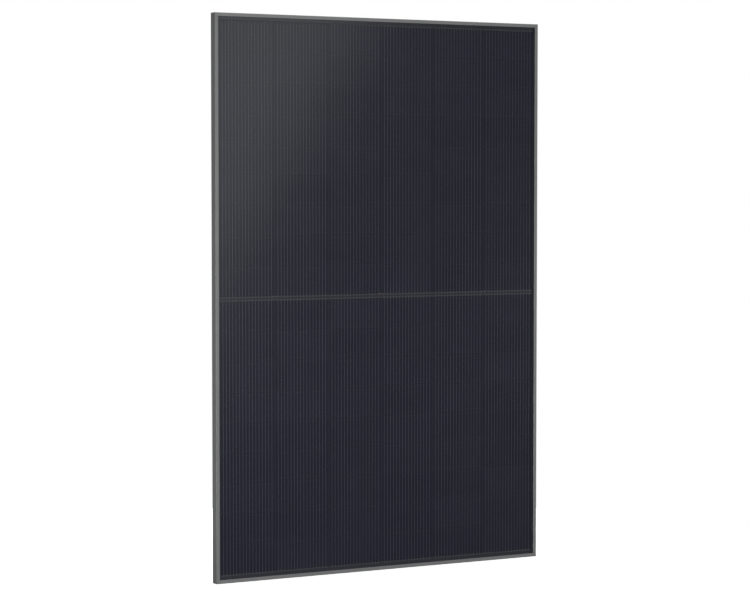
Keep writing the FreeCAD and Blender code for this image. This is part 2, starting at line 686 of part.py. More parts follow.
def potting(x, side, buried):
    """The gel that fills a base round its terminals, diode and leads, open where the cable goes."""
    gel = box_room(x, -BOX_WALL, FLOOR_BACK, POTTING_BACK).fuse(lead_window(x, BACKSHEET_BACK, FLOOR_BACK))
    gel = gel.cut(pillars(x) + buried)
    if side:
        outer = terminal_span(x, side)[1]
        ends = sorted((outer, x + side * BOX_LENGTH / 2))
        gel = gel.cut(rod(ends[0], ends[1], GLAND_BACK, MIDDLE, CABLE_DIAMETER / 2))
    return max(gel.Solids, key=lambda solid: solid.Volume)


def adhesive(x):
    """The bead of silicone that holds a box on the backsheet."""
    bead = box_room(x, BOX_FOOT - ADHESIVE_SETBACK, BACKSHEET_BACK, BOX_FRONT)
    return bead.cut(box_room(x, -BOX_WALL - ADHESIVE_SETBACK, BACKSHEET_BACK - 1, BOX_FRONT + 1))


def gland_seal(x, side):
    """The rubber sleeve that the nut squeezes on the cable."""
    start = NECK_LENGTH - GLAND_SEAL_LENGTH
    sleeve = along_gland(x, side, start, NECK_LENGTH, SEAL_RADIUS)
    return sleeve.cut(along_gland(x, side, start - 1, NECK_LENGTH + 1, CABLE_DIAMETER / 2))


def gland_nut(x, side):
    """The ribbed cap nut over the neck."""
    start, end = BOX_FOOT + NUT_TO_FOOT, NECK_LENGTH + NUT_END_WALL
    nut = along_gland(x, side, start, end, NUT_RADIUS - NUT_RIB_DEPTH)
    wall = x + side * BOX_LENGTH / 2
    width = math.pi * NUT_RADIUS / NUT_RIBS
    ends = sorted((wall + side * start, wall + side * (end - NUT_END_WALL)))
    axis = Vector(0, y_at(GLAND_BACK), MIDDLE)
    ribs = []
    for i in range(NUT_RIBS):
        rib = Part.makeBox(ends[1] - ends[0], width, NUT_WALL,
                           Vector(ends[0], axis.y - width / 2, MIDDLE + NUT_RADIUS - NUT_WALL))
        rib.rotate(axis, X_AXIS, 360 * i / NUT_RIBS)
        ribs.append(rib)
    outside = along_gland(x, side, start, end, NUT_RADIUS)
    nut = nut.fuse(ribs).common(outside)
    nut = nut.cut(along_gland(x, side, start - 1, NECK_LENGTH, NECK_RADIUS + NUT_FIT))
    return one_solid(nut.cut(along_gland(x, side, 0, end + 1, CABLE_DIAMETER / 2 + NUT_MOUTH_CLEARANCE)))


def rating_label():
    """A blank label on the backsheet, above the middle box."""
    z0 = MIDDLE + LABEL_ABOVE_MIDDLE
    half, back = LABEL_WIDTH / 2, BACKSHEET_BACK + LABEL_THICKNESS
    return rounded_block(-half, half, BACKSHEET_BACK, back, z0, z0 + LABEL_HEIGHT, LABEL_RADIUS)


# ---------------------------------------------------------------- nodes

def frame_nodes():
    side, end = side_rail(), end_rail()
    return {
        "frame_rail_left": [side],
        "frame_rail_right": [mirror_x(side)],
        "frame_rail_bottom": [end],
        "frame_rail_top": [mirror_z(end)],
        "corner_keys": four_corners(corner_key()),
        "frame_sealant": [frame_sealant()],
    }


def laminate_nodes():
    nodes = {
        "front_glass": [front_glass()],
        "front_encapsulant": [sheet(GLASS_BACK, FRONT_WIRES)],
        "rear_encapsulant": [sheet(REAR_WIRES_BACK, BACKSHEET_FRONT).cut(lead_slots())],
        "backsheet": [sheet(BACKSHEET_FRONT, BACKSHEET_BACK).cut(lead_slots())],
        "end_ribbons_top": end_ribbons(1),
        "end_ribbons_bottom": end_ribbons(-1),
        "centre_ribbons": centre_ribbons(),
        "ribbon_leads": ribbon_leads(),
        "rating_label": [rating_label()],
    }
    for half, name in ((1, "upper"), (-1, "lower")):
        for column in range(COLUMNS):
            nodes[f"cell_string_{name}_{column + 1}"] = cell_string(column, half)
            nodes[f"wires_{name}_{column + 1}"] = string_wires(column, half)
    return nodes


def box_nodes():
    """The junction boxes, from left to right, with glands on the outer sides of the first and the last."""
    nodes = {}
    middles = box_middles()
    leads = ribbon_leads()
    for i, x in enumerate(middles):
        side = -1 if i == 0 else 1 if i == len(middles) - 1 else 0
        plates, diode = terminals(x, side), bypass_diode(x)
        nodes[f"junction_base_{i + 1}"] = [junction_base(x, side)]
        nodes[f"junction_lid_{i + 1}"] = [junction_lid(x, side)]
        nodes[f"terminals_{i + 1}"] = plates
        nodes[f"bypass_diode_{i + 1}"] = [diode]
        nodes[f"potting_{i + 1}"] = [potting(x, side, plates + [diode] + leads[2 * i:2 * i + 2])]
    nodes["box_adhesive"] = [adhesive(x) for x in middles]
    for name, x, side in (("left", middles[0], -1), ("right", middles[-1], 1)):
        nodes[f"gland_seal_{name}"] = [gland_seal(x, side)]
        nodes[f"gland_nut_{name}"] = [gland_nut(x, side)]
    return nodes


def main():
    os.makedirs("parts", exist_ok=True)
    nodes = {**frame_nodes(), **laminate_nodes(), **box_nodes()}
    for name, pieces in nodes.items():
        solids = [solid for piece in pieces for solid in piece.Solids]
        shape = solids[0] if len(solids) == 1 else Part.makeCompound(solids)
        if not shape.isValid() or min(solid.Volume for solid in solids) <= 0:
            raise ValueError(f"{name} isn't a sound solid")
        shape.exportStep(os.path.join("parts", name + ".step"))
    print(f"{len(nodes)} nodes, {MODULE_WIDTH:g} x {FRAME_DEPTH:g} x {MODULE_LENGTH:g} mm")


main()
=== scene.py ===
"""A framed all-black solar module: its finishes, its fine detail and the studio that it stands in.

The model is in metres. x runs across the module, y from the sunny side to the rear, and z up its long side.
The sizes of the module's pieces are in millimetres, and those of the studio and of surface relief in metres.
Depths called "back" are measured from the front of the frame's lip.
"""
import logging
import math
from dataclasses import dataclass
from enum import Enum
from typing import Callable, Iterable, Sequence

import bmesh
import bpy
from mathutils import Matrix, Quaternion, Vector


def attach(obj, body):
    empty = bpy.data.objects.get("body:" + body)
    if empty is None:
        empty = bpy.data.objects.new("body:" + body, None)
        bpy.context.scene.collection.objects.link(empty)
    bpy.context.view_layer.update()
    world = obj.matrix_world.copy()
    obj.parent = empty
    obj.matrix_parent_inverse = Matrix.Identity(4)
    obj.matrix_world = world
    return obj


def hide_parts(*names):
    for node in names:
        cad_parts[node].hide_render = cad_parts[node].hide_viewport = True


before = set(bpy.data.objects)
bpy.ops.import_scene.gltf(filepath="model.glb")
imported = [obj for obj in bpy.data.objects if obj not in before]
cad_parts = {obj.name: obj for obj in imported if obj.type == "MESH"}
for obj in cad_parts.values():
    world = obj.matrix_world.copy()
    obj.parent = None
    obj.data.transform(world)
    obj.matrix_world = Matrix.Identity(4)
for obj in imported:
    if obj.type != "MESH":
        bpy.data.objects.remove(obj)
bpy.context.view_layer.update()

log = logging.getLogger("module")

MM = 0.001
HAIR = 1e-6
STEEP = 0.9
BODY = "root"
BONDED_INDEX = 1.003

Colour = tuple[float, float, float, float]
Point = tuple[float, float, float]
Node = bpy.types.Node
NodeTree = bpy.types.NodeTree
Socket = bpy.types.NodeSocket


class Axis(Enum):
    """The module's directions, as the number of an axis."""

    ACROSS = 0
    BACK = 1
    UP = 2

    def of(self, length: float, rest: float = 0.0) -> Point:
        """A length along this axis, and the rest along the other two."""
        return tuple(length if i == self.value else rest for i in range(3))


class Gland(Enum):
    """Which side of a junction box its cable gland is on."""

    LEFT = -1
    NONE = 0
    RIGHT = 1


class Element(Enum):
    """What is picked on a mesh, by the name that bmesh has for it."""

    FACE = "faces"
    EDGE = "edges"


class Solid(Enum):
    """What is done to a piece with another one."""

    CUT = "DIFFERENCE"
    FUSE = "UNION"


class Layout:
    """The module's sizes in millimetres, as the frame was built."""

    columns = 6
    rows = 9
    cell_width = 182.0
    cell_height = 91.0
    column_pitch = 184.0
    row_pitch = 92.0
    centre_gap = 16.0
    width = 1134.0
    length = 1722.0
    frame_depth = 30.0
    middle = 861.0
    field_left = -551.0
    field_reach = centre_gap / 2 + (rows - 1) * row_pitch + cell_height
    laminate_inset = 3.0
    wires = 16
    wire_pitch = column_pitch / (wires + 1)
    first_wire = field_left + wire_pitch - (column_pitch - cell_width) / 2
    ribbon_width = 4.0
    ribbon_to_cell = 1.5
    ribbon_starts = {"centre": centre_gap / 2 - ribbon_to_cell - ribbon_width,
                     "end": field_reach + ribbon_to_cell}
    glass_back = 5.3
    wires_front = 5.75
    cell_front = 6.0
    backsheet_front = 6.88
    backsheet_back = 7.23
    gland_axis = 15.28
    base_back = 22.18
    box_middles = (-368.0, 0.0, 368.0)
    box_half_length = 44.0
    neck_radius = 6.1


def grey(value: float, warmth: float = 0.0) -> Colour:
    """A linear grey, pushed towards red when warmth is above 0 and towards blue when it is below."""
    return (value * (1 + warmth), value, value * (1 - warmth), 1.0)


def at_depth(back: float) -> float:
    """The y, in metres, of a depth in millimetres behind the front of the lip."""
    return (back - Layout.frame_depth / 2) * MM


def spot(x: float, back: float, z: float) -> Point:
    """A place in metres, from its x, its depth and its z in millimetres."""
    return (x * MM, at_depth(back), z * MM)


def runs_back(a: Vector, b: Vector) -> bool:
    """Whether the edge between two places runs straight from front to rear."""
    return abs(a.x - b.x) < HAIR and abs(a.z - b.z) < HAIR


# ---------------------------------------------------------------- shader nodes

@dataclass(frozen=True)
class Pattern:
    """How close a finish's marks are, per metre, and how much they show.

    Grain has fine marks over slow ones. Streaks are fine across their run and slow along it.
    """

    fine: float
    slow: float
    amount: float


class ShaderTree:
    """The nodes of one material or group, added with their values and linked as they are made."""

    def __init__(self, tree: NodeTree) -> None:
        """Starts on a tree, which is emptied first."""
        self.tree = tree
        tree.nodes.clear()

    def add(self, kind: str, inputs: dict | None = None, **settings: object) -> Node:
        """Adds a node.

        Args:
            kind: The node's type, without its "ShaderNode".
            inputs: Values or sockets for its inputs, by name or number.
            settings: Values for its properties.

        Returns:
            The new node.
        """
        node = self.tree.nodes.new(kind if kind.startswith("Node") else "ShaderNode" + kind)
        for name, value in settings.items():
            setattr(node, name, value)
        for key, value in (inputs or {}).items():
            if isinstance(value, Socket):
                self.tree.links.new(value, node.inputs[key])
            else:
                node.inputs[key].default_value = value
        return node

    def math(self, operation: str, *values: object, clamp: bool = False) -> Socket:
        """A Math node's result.

        Args:
            operation: The name of the operation.
            values: Its numbers or sockets, in order.
            clamp: Whether the result is kept from 0 to 1.

        Returns:
            The node's output socket.
        """
        node = self.add("Math", dict(enumerate(values)), operation=operation, use_clamp=clamp)
        return node.outputs[0]

    def times(self, first: object, second: object) -> Socket:
        """The product of two values."""
        return self.math("MULTIPLY", first, second)

    def plus(self, first: object, second: object) -> Socket:
        """The sum of two values."""
        return self.math("ADD", first, second)

    def minus(self, first: object, second: object) -> Socket:
        """The first value less the second."""
        return self.math("SUBTRACT", first, second)

    def near(self, value: object, place: float, reach: float) -> Socket:
        """1 where a value is within reach of a place, and 0 elsewhere."""
        return self.math("LESS_THAN", self.math("ABSOLUTE", self.minus(value, place)), reach)

    def about_one(self, noise: object, amount: object) -> Socket:
        """A factor about 1 from a noise about one half. An amount of 1 lets it swing from 0 to 2."""
        return self.plus(1.0, self.times(self.times(self.minus(noise, 0.5), amount), 2.0))

    def blend(self, amount: object, first: object, second: object) -> Socket:
        """A mix of two colours, by how much there is of the second."""
        return self.add("Mix", {0: amount, 6: first, 7: second}, data_type="RGBA").outputs[2]

    def scaled(self, colour: object, factor: object) -> Socket:
        """A colour, or a socket with one, multiplied by a factor."""
        first = colour if isinstance(colour, Socket) else colour[:3]
        return self.add("VectorMath", {0: first, "Scale": factor}, operation="SCALE").outputs[0]

    def span(self, value: object, low: float, high: float, to_low: float, to_high: float) -> Socket:
        """Maps a value from one range to another, clamped at both ends.

        Args:
            value: The socket to map.
            low: The start of its range.
            high: The end of its range.
            to_low: The result at the start.
            to_high: The result at the end.

        Returns:
            The mapped value's socket.
        """
        node = self.add("MapRange", {0: value, 1: low, 2: high, 3: to_low, 4: to_high})
        return node.outputs[0]

    def object_point(self) -> Socket:
        """The point being shaded, in the object's own coordinates."""
        return self.add("TexCoord").outputs["Object"]

    def split(self, vector: object) -> bpy.types.NodeOutputs:
        """A vector's X, Y and Z."""
        return self.add("SeparateXYZ", {0: vector}).outputs

    def noise(self, point: object, scale: object, detail: float, rough: float = 0.5) -> Socket:
        """A noise value about one half."""
        inputs = {"Vector": point, "Scale": scale, "Detail": detail, "Roughness": rough}
        return self.add("TexNoise", inputs).outputs[0]

    def effect(self, nodes: Callable[..., dict[str, Socket]], inputs: dict) -> bpy.types.NodeOutputs:
        """Adds a group that several finishes share, which is built the first time that it is asked for.

        Args:
            nodes: Adds the group's nodes and gives its output numbers by name. The group takes its name.
            inputs: The values and sockets of its inputs by name, first a vector and then numbers.

        Returns:
            The group's outputs.
        """
        tree = bpy.data.node_groups.get(nodes.__name__)
        if tree is None:
            tree = bpy.data.node_groups.new(nodes.__name__, "ShaderNodeTree")
            for i, label in enumerate(inputs):
                kind = "NodeSocketFloat" if i else "NodeSocketVector"
                tree.interface.new_socket(name=label, in_out="INPUT", socket_type=kind)
            s = ShaderTree(tree)
            results = nodes(s, s.add("NodeGroupInput").outputs)
            for label in results:
                tree.interface.new_socket(name=label, in_out="OUTPUT", socket_type="NodeSocketFloat")
            s.add("NodeGroupOutput", results)
        return self.add("Group", inputs, node_tree=tree).outputs

    def grain(self, point: Socket, pattern: Pattern) -> tuple[Socket, Socket]:
        """Grain at a point.

        Args:
            point: The point.
            pattern: The grain's marks.

        Returns:
            A factor about 1, and a height.
        """
        outputs = self.effect(grain, {"Point": point, "Grains per metre": pattern.fine,
                                      "Mottles per metre": pattern.slow, "Amount": pattern.amount})
        return outputs["Value"], outputs["Height"]

    def streaks(self, point: Socket, run: Axis, pattern: Pattern) -> tuple[Socket, Socket]:
        """Streaks at a point.

        Args:
            point: The point.
            run: The way that they run.
            pattern: Their marks.

        Returns:
            A factor about 1, and a height.
        """
        scale = run.of(pattern.slow, pattern.fine)
        stretched = self.add("Mapping", {"Vector": point, "Scale": scale}).outputs[0]
        outputs = self.effect(streaks, {"Stretched point": stretched, "Amount": pattern.amount})
        return outputs["Value"], outputs["Height"]


def grain(s: ShaderTree, given: bpy.types.NodeOutputs) -> dict[str, Socket]:
    """Fine grain over a slower mottling, the same every way.

    Args:
        s: The group's tree.
        given: The group's inputs.

    Returns:
        The group's outputs: a factor about 1, and a height.
    """
    fine = s.noise(given["Point"], given["Grains per metre"], 3.0, 0.6)
    slow = s.noise(given["Point"], given["Mottles per metre"], 2.0)
    both = s.plus(s.times(fine, 0.5), s.times(slow, 0.5))
    return {"Value": s.about_one(both, given["Amount"]), "Height": fine}


def streaks(s: ShaderTree, given: bpy.types.NodeOutputs) -> dict[str, Socket]:
    """Lines drawn out along a stretched point.

    Args:
        s: The group's tree.
        given: The group's inputs.

    Returns:
        The group's outputs: a factor about 1, and a height.
    """
    fine = s.noise(given["Stretched point"], 1.0, 3.0, 0.65)
    broad = s.noise(given["Stretched point"], 0.13, 1.0)
    both = s.plus(s.times(fine, 0.6), s.times(broad, 0.4))
    return {"Value": s.about_one(both, given["Amount"]), "Height": fine}


def settled_dust(s: ShaderTree, given: bpy.types.NodeOutputs) -> dict[str, Socket]:
    """A thin patchy dust on faces that look up.

    Args:
        s: The group's tree.
        given: The group's inputs.

    Returns:
        The group's output, a mask.
    """
    upward = s.span(s.split(s.add("NewGeometry").outputs["Normal"])["Z"], 0.2, 0.95, 0.0, 1.0)
    patches = s.span(s.noise(given["Point"], 35.0, 4.0, 0.6), 0.35, 0.75, 0.25, 1.0)
    return {"Mask": s.times(s.times(upward, patches), given["Amount"])}


def distance_to_wire(s: ShaderTree, across: Socket) -> Socket:
    """How far a place is from the nearest wire, in millimetres.

    Args:
        s: The material's tree.
        across: The place's x, in metres.

    Returns:
        The distance's socket.
    """
    steps = s.math("DIVIDE", s.minus(across, Layout.first_wire * MM), Layout.wire_pitch * MM)
    return s.times(s.math("ABSOLUTE", s.minus(steps, s.math("ROUND", steps))), Layout.wire_pitch)


# ---------------------------------------------------------------- finishes

@dataclass(frozen=True)
class Dust:
    """A thin dust that lies on a finish."""

    amount: float
    colour: Colour
    roughness: float

    def over(self, s: ShaderTree, point: Socket, colour: Socket, rough: Socket) -> dict[str, Socket]:
        """Lays the dust on a colour and a roughness.

        Args:
            s: The material's tree.
            point: The point being shaded.
            colour: The clean colour.
            rough: The clean roughness.

        Returns:
            The surface's colour and roughness, by the names of its inputs.
        """
        mask = s.effect(settled_dust, {"Point": point, "Amount": self.amount})["Mask"]
        return {"Base Color": s.blend(mask, colour, self.colour),
                "Roughness": s.math("ADD", rough, s.times(mask, self.roughness), clamp=True)}


@dataclass(frozen=True)
class Finish:
    """A finish by name. Each kind says in paint() how its material is made."""

    name: str

    def material(self) -> bpy.types.Material:
        """The finish's material, built the first time that it is asked for.

        Returns:
            The material.
        """
        found = bpy.data.materials.get("finish_" + self.name)
        if found is not None:
            return found
        material = bpy.data.materials.new("finish_" + self.name)
        material.use_nodes = True
        s = ShaderTree(material.node_tree)
        shader = s.add("BsdfPrincipled", self.paint(s))
        s.add("OutputMaterial", {"Surface": shader.outputs[0]})
        return material

    def paint(self, s: ShaderTree) -> dict[str, object]:
        """Adds the nodes that the surface needs.

        Args:
            s: The material's tree.

        Returns:
            The surface's values and sockets, by the names of its inputs.
        """
        raise NotImplementedError(self.name)

    @staticmethod
    def bumped(s: ShaderTree, height: Socket, depth: float, over: Socket | None = None) -> Socket:
        """The normal that a height gives, with its depth in metres, over another one."""
        inputs = {"Height": height, "Distance": depth} | ({"Normal": over} if over else {})
        return s.add("Bump", inputs).outputs[0]


@dataclass(frozen=True)
class DrawnMetal(Finish):
    """Extruded metal with its die lines, anodised or bare."""

    colour: Colour
    roughness: float
    run: Axis
    metallic: float = 1.0
    lines: Pattern = Pattern(1400.0, 6.0, 0.12)
    mottling: Pattern = Pattern(5200.0, 22.0, 0.16)
    dust: Dust = Dust(0.10, grey(0.35, 0.04), 0.4)
    line_share: float = 0.7
    relief: float = 0.000012

    def paint(self, s: ShaderTree) -> dict[str, object]:
        """Die lines along the run, a slow mottling of the anodising, and a little dust on top.

        Args:
            s: The material's tree.

        Returns:
            The surface's values and sockets.
        """
        point = s.object_point()
        lines, line_height = s.streaks(point, self.run, self.lines)
        grain, grain_height = s.grain(point, self.mottling)
        tone = s.scaled(self.colour, s.times(lines, grain))
        height = s.plus(s.times(line_height, self.line_share), s.times(grain_height, 1 - self.line_share))
        return {"Metallic": self.metallic, "Normal": self.bumped(s, height, self.relief),
                **self.dust.over(s, point, tone, s.times(lines, self.roughness))}


@dataclass(frozen=True)
class Moulded(Finish):
    """Moulded plastic, rubber or cured silicone, from its colour, gloss and grain."""

    colour: Colour
    roughness: float
    grains: float = 2600.0
    depth: float = 0.00002
    specular: float = 0.5
    mottle: float = 0.3
    mottles: float = 60.0
    sheen: float = 0.0
    subsurface: float = 0.0
    scatter: float = 0.002
    dust: Dust = Dust(0.12, grey(0.3, 0.04), 0.3)

    def paint(self, s: ShaderTree) -> dict[str, object]:
        """Grain in the colour, the gloss and the surface, with a little dust on top.

        Args:
            s: The material's tree.

        Returns:
            The surface's values and sockets.
        """
        point = s.object_point()
        grain, height = s.grain(point, Pattern(self.grains, self.mottles, self.mottle))
        return {"Specular IOR Level": self.specular, "Sheen Weight": self.sheen,
                "Subsurface Weight": self.subsurface, "Subsurface Scale": self.scatter,
                "Normal": self.bumped(s, height, self.depth),
                **self.dust.over(s, point, s.scaled(self.colour, grain), s.times(grain, self.roughness))}


@dataclass(frozen=True)
class CoatedSilicon(Finish):
    """Textured silicon under its blue-black coat, with the printed contact fingers, busbar lines under the
    wires and a painted glow of reflected light beside them.
    """

    dark: Colour
    light: Colour
    finger: Colour
    busbar: Colour
    finger_pitch: float = 1.3
    finger_width: float = 0.05
    finger_strength: float = 0.8
    busbar_core: float = 0.2
    # How far from each wire, in millimetres, the painted glow of reflected light has faded out.
    busbar_halo: float = 1.5
    gloss: float = 0.35
    roughness: float = 0.2
    etching: Pattern = Pattern(9000.0, 14.0, 0.22)
    relief: float = 0.000001

    @staticmethod
    def cell_number(s: ShaderTree, x: Socket, z: Socket) -> Socket:
        """A random value for each cell, from its column, its row and its half of the module.

        Args:
            s: The material's tree.
            x: The x of the point being shaded, in metres.
            z: Its z.

        Returns:
            The value's socket.
        """
        columns = s.math("DIVIDE", s.minus(x, Layout.field_left * MM), Layout.column_pitch * MM)
        away = s.minus(z, Layout.middle * MM)
        into = s.minus(s.math("ABSOLUTE", away), Layout.centre_gap / 2 * MM)
        row = s.math("FLOOR", s.math("DIVIDE", into, Layout.row_pitch * MM))
        address = s.add("CombineXYZ", {0: s.math("FLOOR", columns), 1: row, 2: s.math("SIGN", away)})
        return s.add("TexWhiteNoise", {"Vector": address.outputs[0]}, noise_dimensions="3D").outputs["Value"]

    def paint(self, s: ShaderTree) -> dict[str, object]:
        """Each cell has its own shade, with fine fingers across it, busbar lines with a painted glow of
        reflected light beside them, and a soft etched grain.

        Args:
            s: The material's tree.

        Returns:
            The surface's values and sockets.
        """
        point = s.object_point()
        parts = s.split(point)
        # Painted glow: the busbar colour fills the core under each wire and fades out over the cell beside
        # it, standing in for light that the wires reflect.
        busbar = s.span(distance_to_wire(s, parts["X"]), self.busbar_core, self.busbar_halo, 1.0, 0.0)
        lap = s.math("FRACT", s.math("DIVIDE", parts["Z"], self.finger_pitch * MM))
        finger = s.math("LESS_THAN", lap, self.finger_width / self.finger_pitch)
        grain, height = s.grain(point, self.etching)
        own = s.blend(self.cell_number(s, parts["X"], parts["Z"]), self.dark, self.light)
        printed = s.blend(s.times(finger, self.finger_strength), s.scaled(own, grain), self.finger)
        return {"Base Color": s.blend(busbar, printed, self.busbar),
                "Roughness": s.times(grain, self.roughness), "Specular IOR Level": self.gloss,
                "Normal": self.bumped(s, height, self.relief)}


@dataclass(frozen=True)
class TinnedStrip(Finish):
    """Tin-coated copper, dull and a little uneven, along its length."""

    colour: Colour
    roughness: float
    run: Axis
    metallic: float = 0.6
    specular: float = 0.3
    lines: Pattern = Pattern(3000.0, 60.0, 0.3)
    patches: Pattern = Pattern(4000.0, 120.0, 0.3)
    relief: float = 0.00001

    def paint(self, s: ShaderTree) -> dict[str, object]:
        """Drawn lines, with slow patches where the tin is thicker.

        Args:
            s: The material's tree.

        Returns:
            The surface's values and sockets.
        """
        point = s.object_point()
        lines, height = s.streaks(point, self.run, self.lines)
        grain, _ = s.grain(point, self.patches)
        return {"Base Color": s.scaled(self.colour, s.times(lines, grain)),
                "Roughness": s.times(grain, self.roughness), "Metallic": self.metallic,
                "Specular IOR Level": self.specular, "Normal": self.bumped(s, height, self.relief)}


@dataclass(frozen=True)
class SolarGlass(Finish):
    """Clear glass with an anti-reflective coat, which makes its index look low."""

    tint: Colour
    roughness: float = 0.02
    rolling: Pattern = Pattern(1500.0, 9.0, 0.2)

    def paint(self, s: ShaderTree) -> dict[str, object]:
        """Clear, with the faint unevenness of a rolled surface in its gloss."""
        grain, _ = s.grain(s.object_point(), self.rolling)
        return {"Base Color": self.tint, "Roughness": s.times(grain, self.roughness), "IOR": BONDED_INDEX,
                "Transmission Weight": 1.0}


@dataclass(frozen=True)
class ClearSheet(Finish):
    """Encapsulant that has become one with the glass, so that its faces hardly show."""

    thin: Colour
    thick: Colour
    roughness: float = 0.02
    cloud: Pattern = Pattern(300.0, 6.0, 1.0)

    def paint(self, s: ShaderTree) -> dict[str, object]:
        """Clear, with a tint that changes a little over the sheet.

        Args:
            s: The material's tree.

        Returns:
            The surface's values and sockets.
        """
        cloud, _ = s.grain(s.object_point(), self.cloud)
        tint = s.blend(s.math("MULTIPLY", cloud, 0.5, clamp=True), self.thin, self.thick)
        return {"Base Color": tint, "Roughness": self.roughness, "IOR": BONDED_INDEX,
                "Transmission Weight": 1.0}


@dataclass(frozen=True)
class BlackFilm(Finish):
    """The rear film, with the wires behind it showing through as fine ridges."""

    colour: Colour
    roughness: float
    ridge_core: float = 0.15
    ridge_foot: float = 0.9
    ridge_height: float = 0.00012
    crinkle: Pattern = Pattern(900.0, 12.0, 0.25)
    crinkle_height: float = 0.00003

    def paint(self, s: ShaderTree) -> dict[str, object]:
        """Ridges over the wires, and the film's own fine crinkle.

        Args:
            s: The material's tree.

        Returns:
            The surface's values and sockets.
        """
        point = s.object_point()
        grain, height = s.grain(point, self.crinkle)
        away = distance_to_wire(s, s.split(point)["X"])
        ridges = s.span(away, self.ridge_core, self.ridge_foot, 1.0, 0.0)
        crinkled = self.bumped(s, height, self.crinkle_height)
        return {"Base Color": s.scaled(self.colour, grain), "Roughness": s.times(grain, self.roughness),
                "Normal": self.bumped(s, ridges, self.ridge_height, crinkled)}


@dataclass(frozen=True)
class RuledLabel(Finish):
    """A blank label: pale satin film with faint ruled lines and an empty header band.

    Its places and sizes are shares of the label's width and height.
    """

    paper: Colour
    ink: Colour
    low: tuple[float, float]
    high: tuple[float, float]
    rows: int = 9
    half_width: float = 0.44
    table_middle: float = 0.42
    table_half_height: float = 0.34
    rule_width: float = 0.09
    divider: float = 0.52
    divider_half_width: float = 0.003
    header_middle: float = 0.88
    header_half_height: float = 0.05
    ink_strength: float = 0.75
    roughness: float = 0.42
    fibres: Pattern = Pattern(5000.0, 50.0, 0.06)
    relief: float = 0.000008

    def paint(self, s: ShaderTree) -> dict[str, object]:
        """Rules inside a margin, from the label's own corner.

        Args:
            s: The material's tree.

        Returns:
            The surface's values and sockets.
        """
        point = s.object_point()
        parts = s.split(point)
        u, v = (s.math("DIVIDE", s.minus(parts[name], low), high - low)
                for name, low, high in zip("XZ", self.low, self.high))
        across = s.near(u, 0.5, self.half_width)
        inside = s.times(across, s.near(v, self.table_middle, self.table_half_height))
        foot = self.table_middle - self.table_half_height
        lap = s.math("FRACT", s.times(s.minus(v, foot), self.rows / (2 * self.table_half_height)))
        rule = s.math("LESS_THAN", lap, self.rule_width)
        drawn = s.math("MAXIMUM", rule, s.near(u, self.divider, self.divider_half_width))
        band = s.times(across, s.near(v, self.header_middle, self.header_half_height))
        ink = s.math("ADD", s.times(drawn, inside), band, clamp=True)
        grain, height = s.grain(point, self.fibres)
        return {"Base Color": s.blend(s.times(ink, self.ink_strength), s.scaled(self.paper, grain), self.ink),
                "Roughness": s.times(grain, self.roughness), "Normal": self.bumped(s, height, self.relief)}


@dataclass(frozen=True)
class PaleFloor(Finish):
    """The studio's pale floor, which is lit a little from below like a light table."""

    colour: Colour
    glow: float = 0.55
    roughness: float = 0.7
    specular: float = 0.2
    mottling: Pattern = Pattern(60.0, 1.5, 0.02)

    def paint(self, s: ShaderTree) -> dict[str, object]:
        """Nearly even, with a faint mottling.

        Args:
            s: The material's tree.

        Returns:
            The surface's values and sockets.
        """
        grain, _ = s.grain(s.object_point(), self.mottling)
        tone = s.scaled(self.colour, grain)
        return {"Base Color": tone, "Roughness": self.roughness, "Specular IOR Level": self.specular,
                "Emission Color": tone, "Emission Strength": self.glow}


class Finishes:
    """Every finish on the module."""

    # Painted light: the top and bottom rails get a shade lighter anodising than the side rails, matched to
    # how brightly their lips are lit.
    upright_rail = DrawnMetal("black_anodised_upright", grey(0.16, -0.01), 0.45, Axis.UP, metallic=0.4)
    across_rail = DrawnMetal("black_anodised_across", grey(0.165, -0.01), 0.45, Axis.ACROSS, metallic=0.4)
    key = DrawnMetal("mill_aluminium", grey(0.62, -0.01), 0.35, Axis.UP, lines=Pattern(1400.0, 6.0, 0.3))
    glass = SolarGlass("solar_glass", (0.985, 0.995, 0.99, 1.0))
    clear = ClearSheet("clear_encapsulant", (0.998, 0.998, 0.998, 1.0), (0.985, 0.986, 0.982, 1.0))
    ground = Moulded("black_encapsulant", (0.0255, 0.026, 0.0325, 1.0), 0.2, specular=0.35, mottle=0.2,
                     depth=0.000001)
    film = BlackFilm("black_backsheet", grey(0.03, -0.02), 0.48)
    # The busbar colour is also the painted glow of reflected light beside each wire.
    silicon = CoatedSilicon("coated_silicon", (0.0109, 0.0114, 0.0197, 1.0), (0.0128, 0.0134, 0.0223, 1.0),
                            finger=grey(0.03), busbar=(0.0255, 0.0265, 0.035, 1.0))
    wire = TinnedStrip("tinned_wire", (0.2, 0.205, 0.23, 1.0), 0.35, Axis.UP, metallic=0.85)
    ribbon = TinnedStrip("tinned_ribbon", (0.0215, 0.0225, 0.029, 1.0), 0.4, Axis.ACROSS, metallic=0.1)
    solder = Moulded("dull_solder", grey(0.12, -0.01), 0.5, grains=5000.0, specular=0.3)
    contact = TinnedStrip("bright_tinned_plate", grey(0.55, 0.01), 0.35, Axis.ACROSS, metallic=1.0)
    seal = Moulded("cured_silicone", grey(0.02), 0.55, grains=500.0, depth=0.00008, mottle=0.25)
    box = Moulded("black_moulding", grey(0.028, -0.01), 0.5, grains=3200.0, depth=0.00003)
    nut = Moulded("black_nylon", grey(0.025, -0.01), 0.42, grains=2200.0)
    epoxy = Moulded("diode_epoxy", grey(0.03), 0.65, grains=3000.0)
    gel = Moulded("potting_gel", grey(0.5, 0.02), 0.25, grains=150.0, subsurface=0.4, mottle=0.1)
    rubber = Moulded("gland_rubber", grey(0.02), 0.7, grains=1800.0, sheen=0.1)
    floor = PaleFloor("pale_floor", grey(0.9))


# ---------------------------------------------------------------- the bench

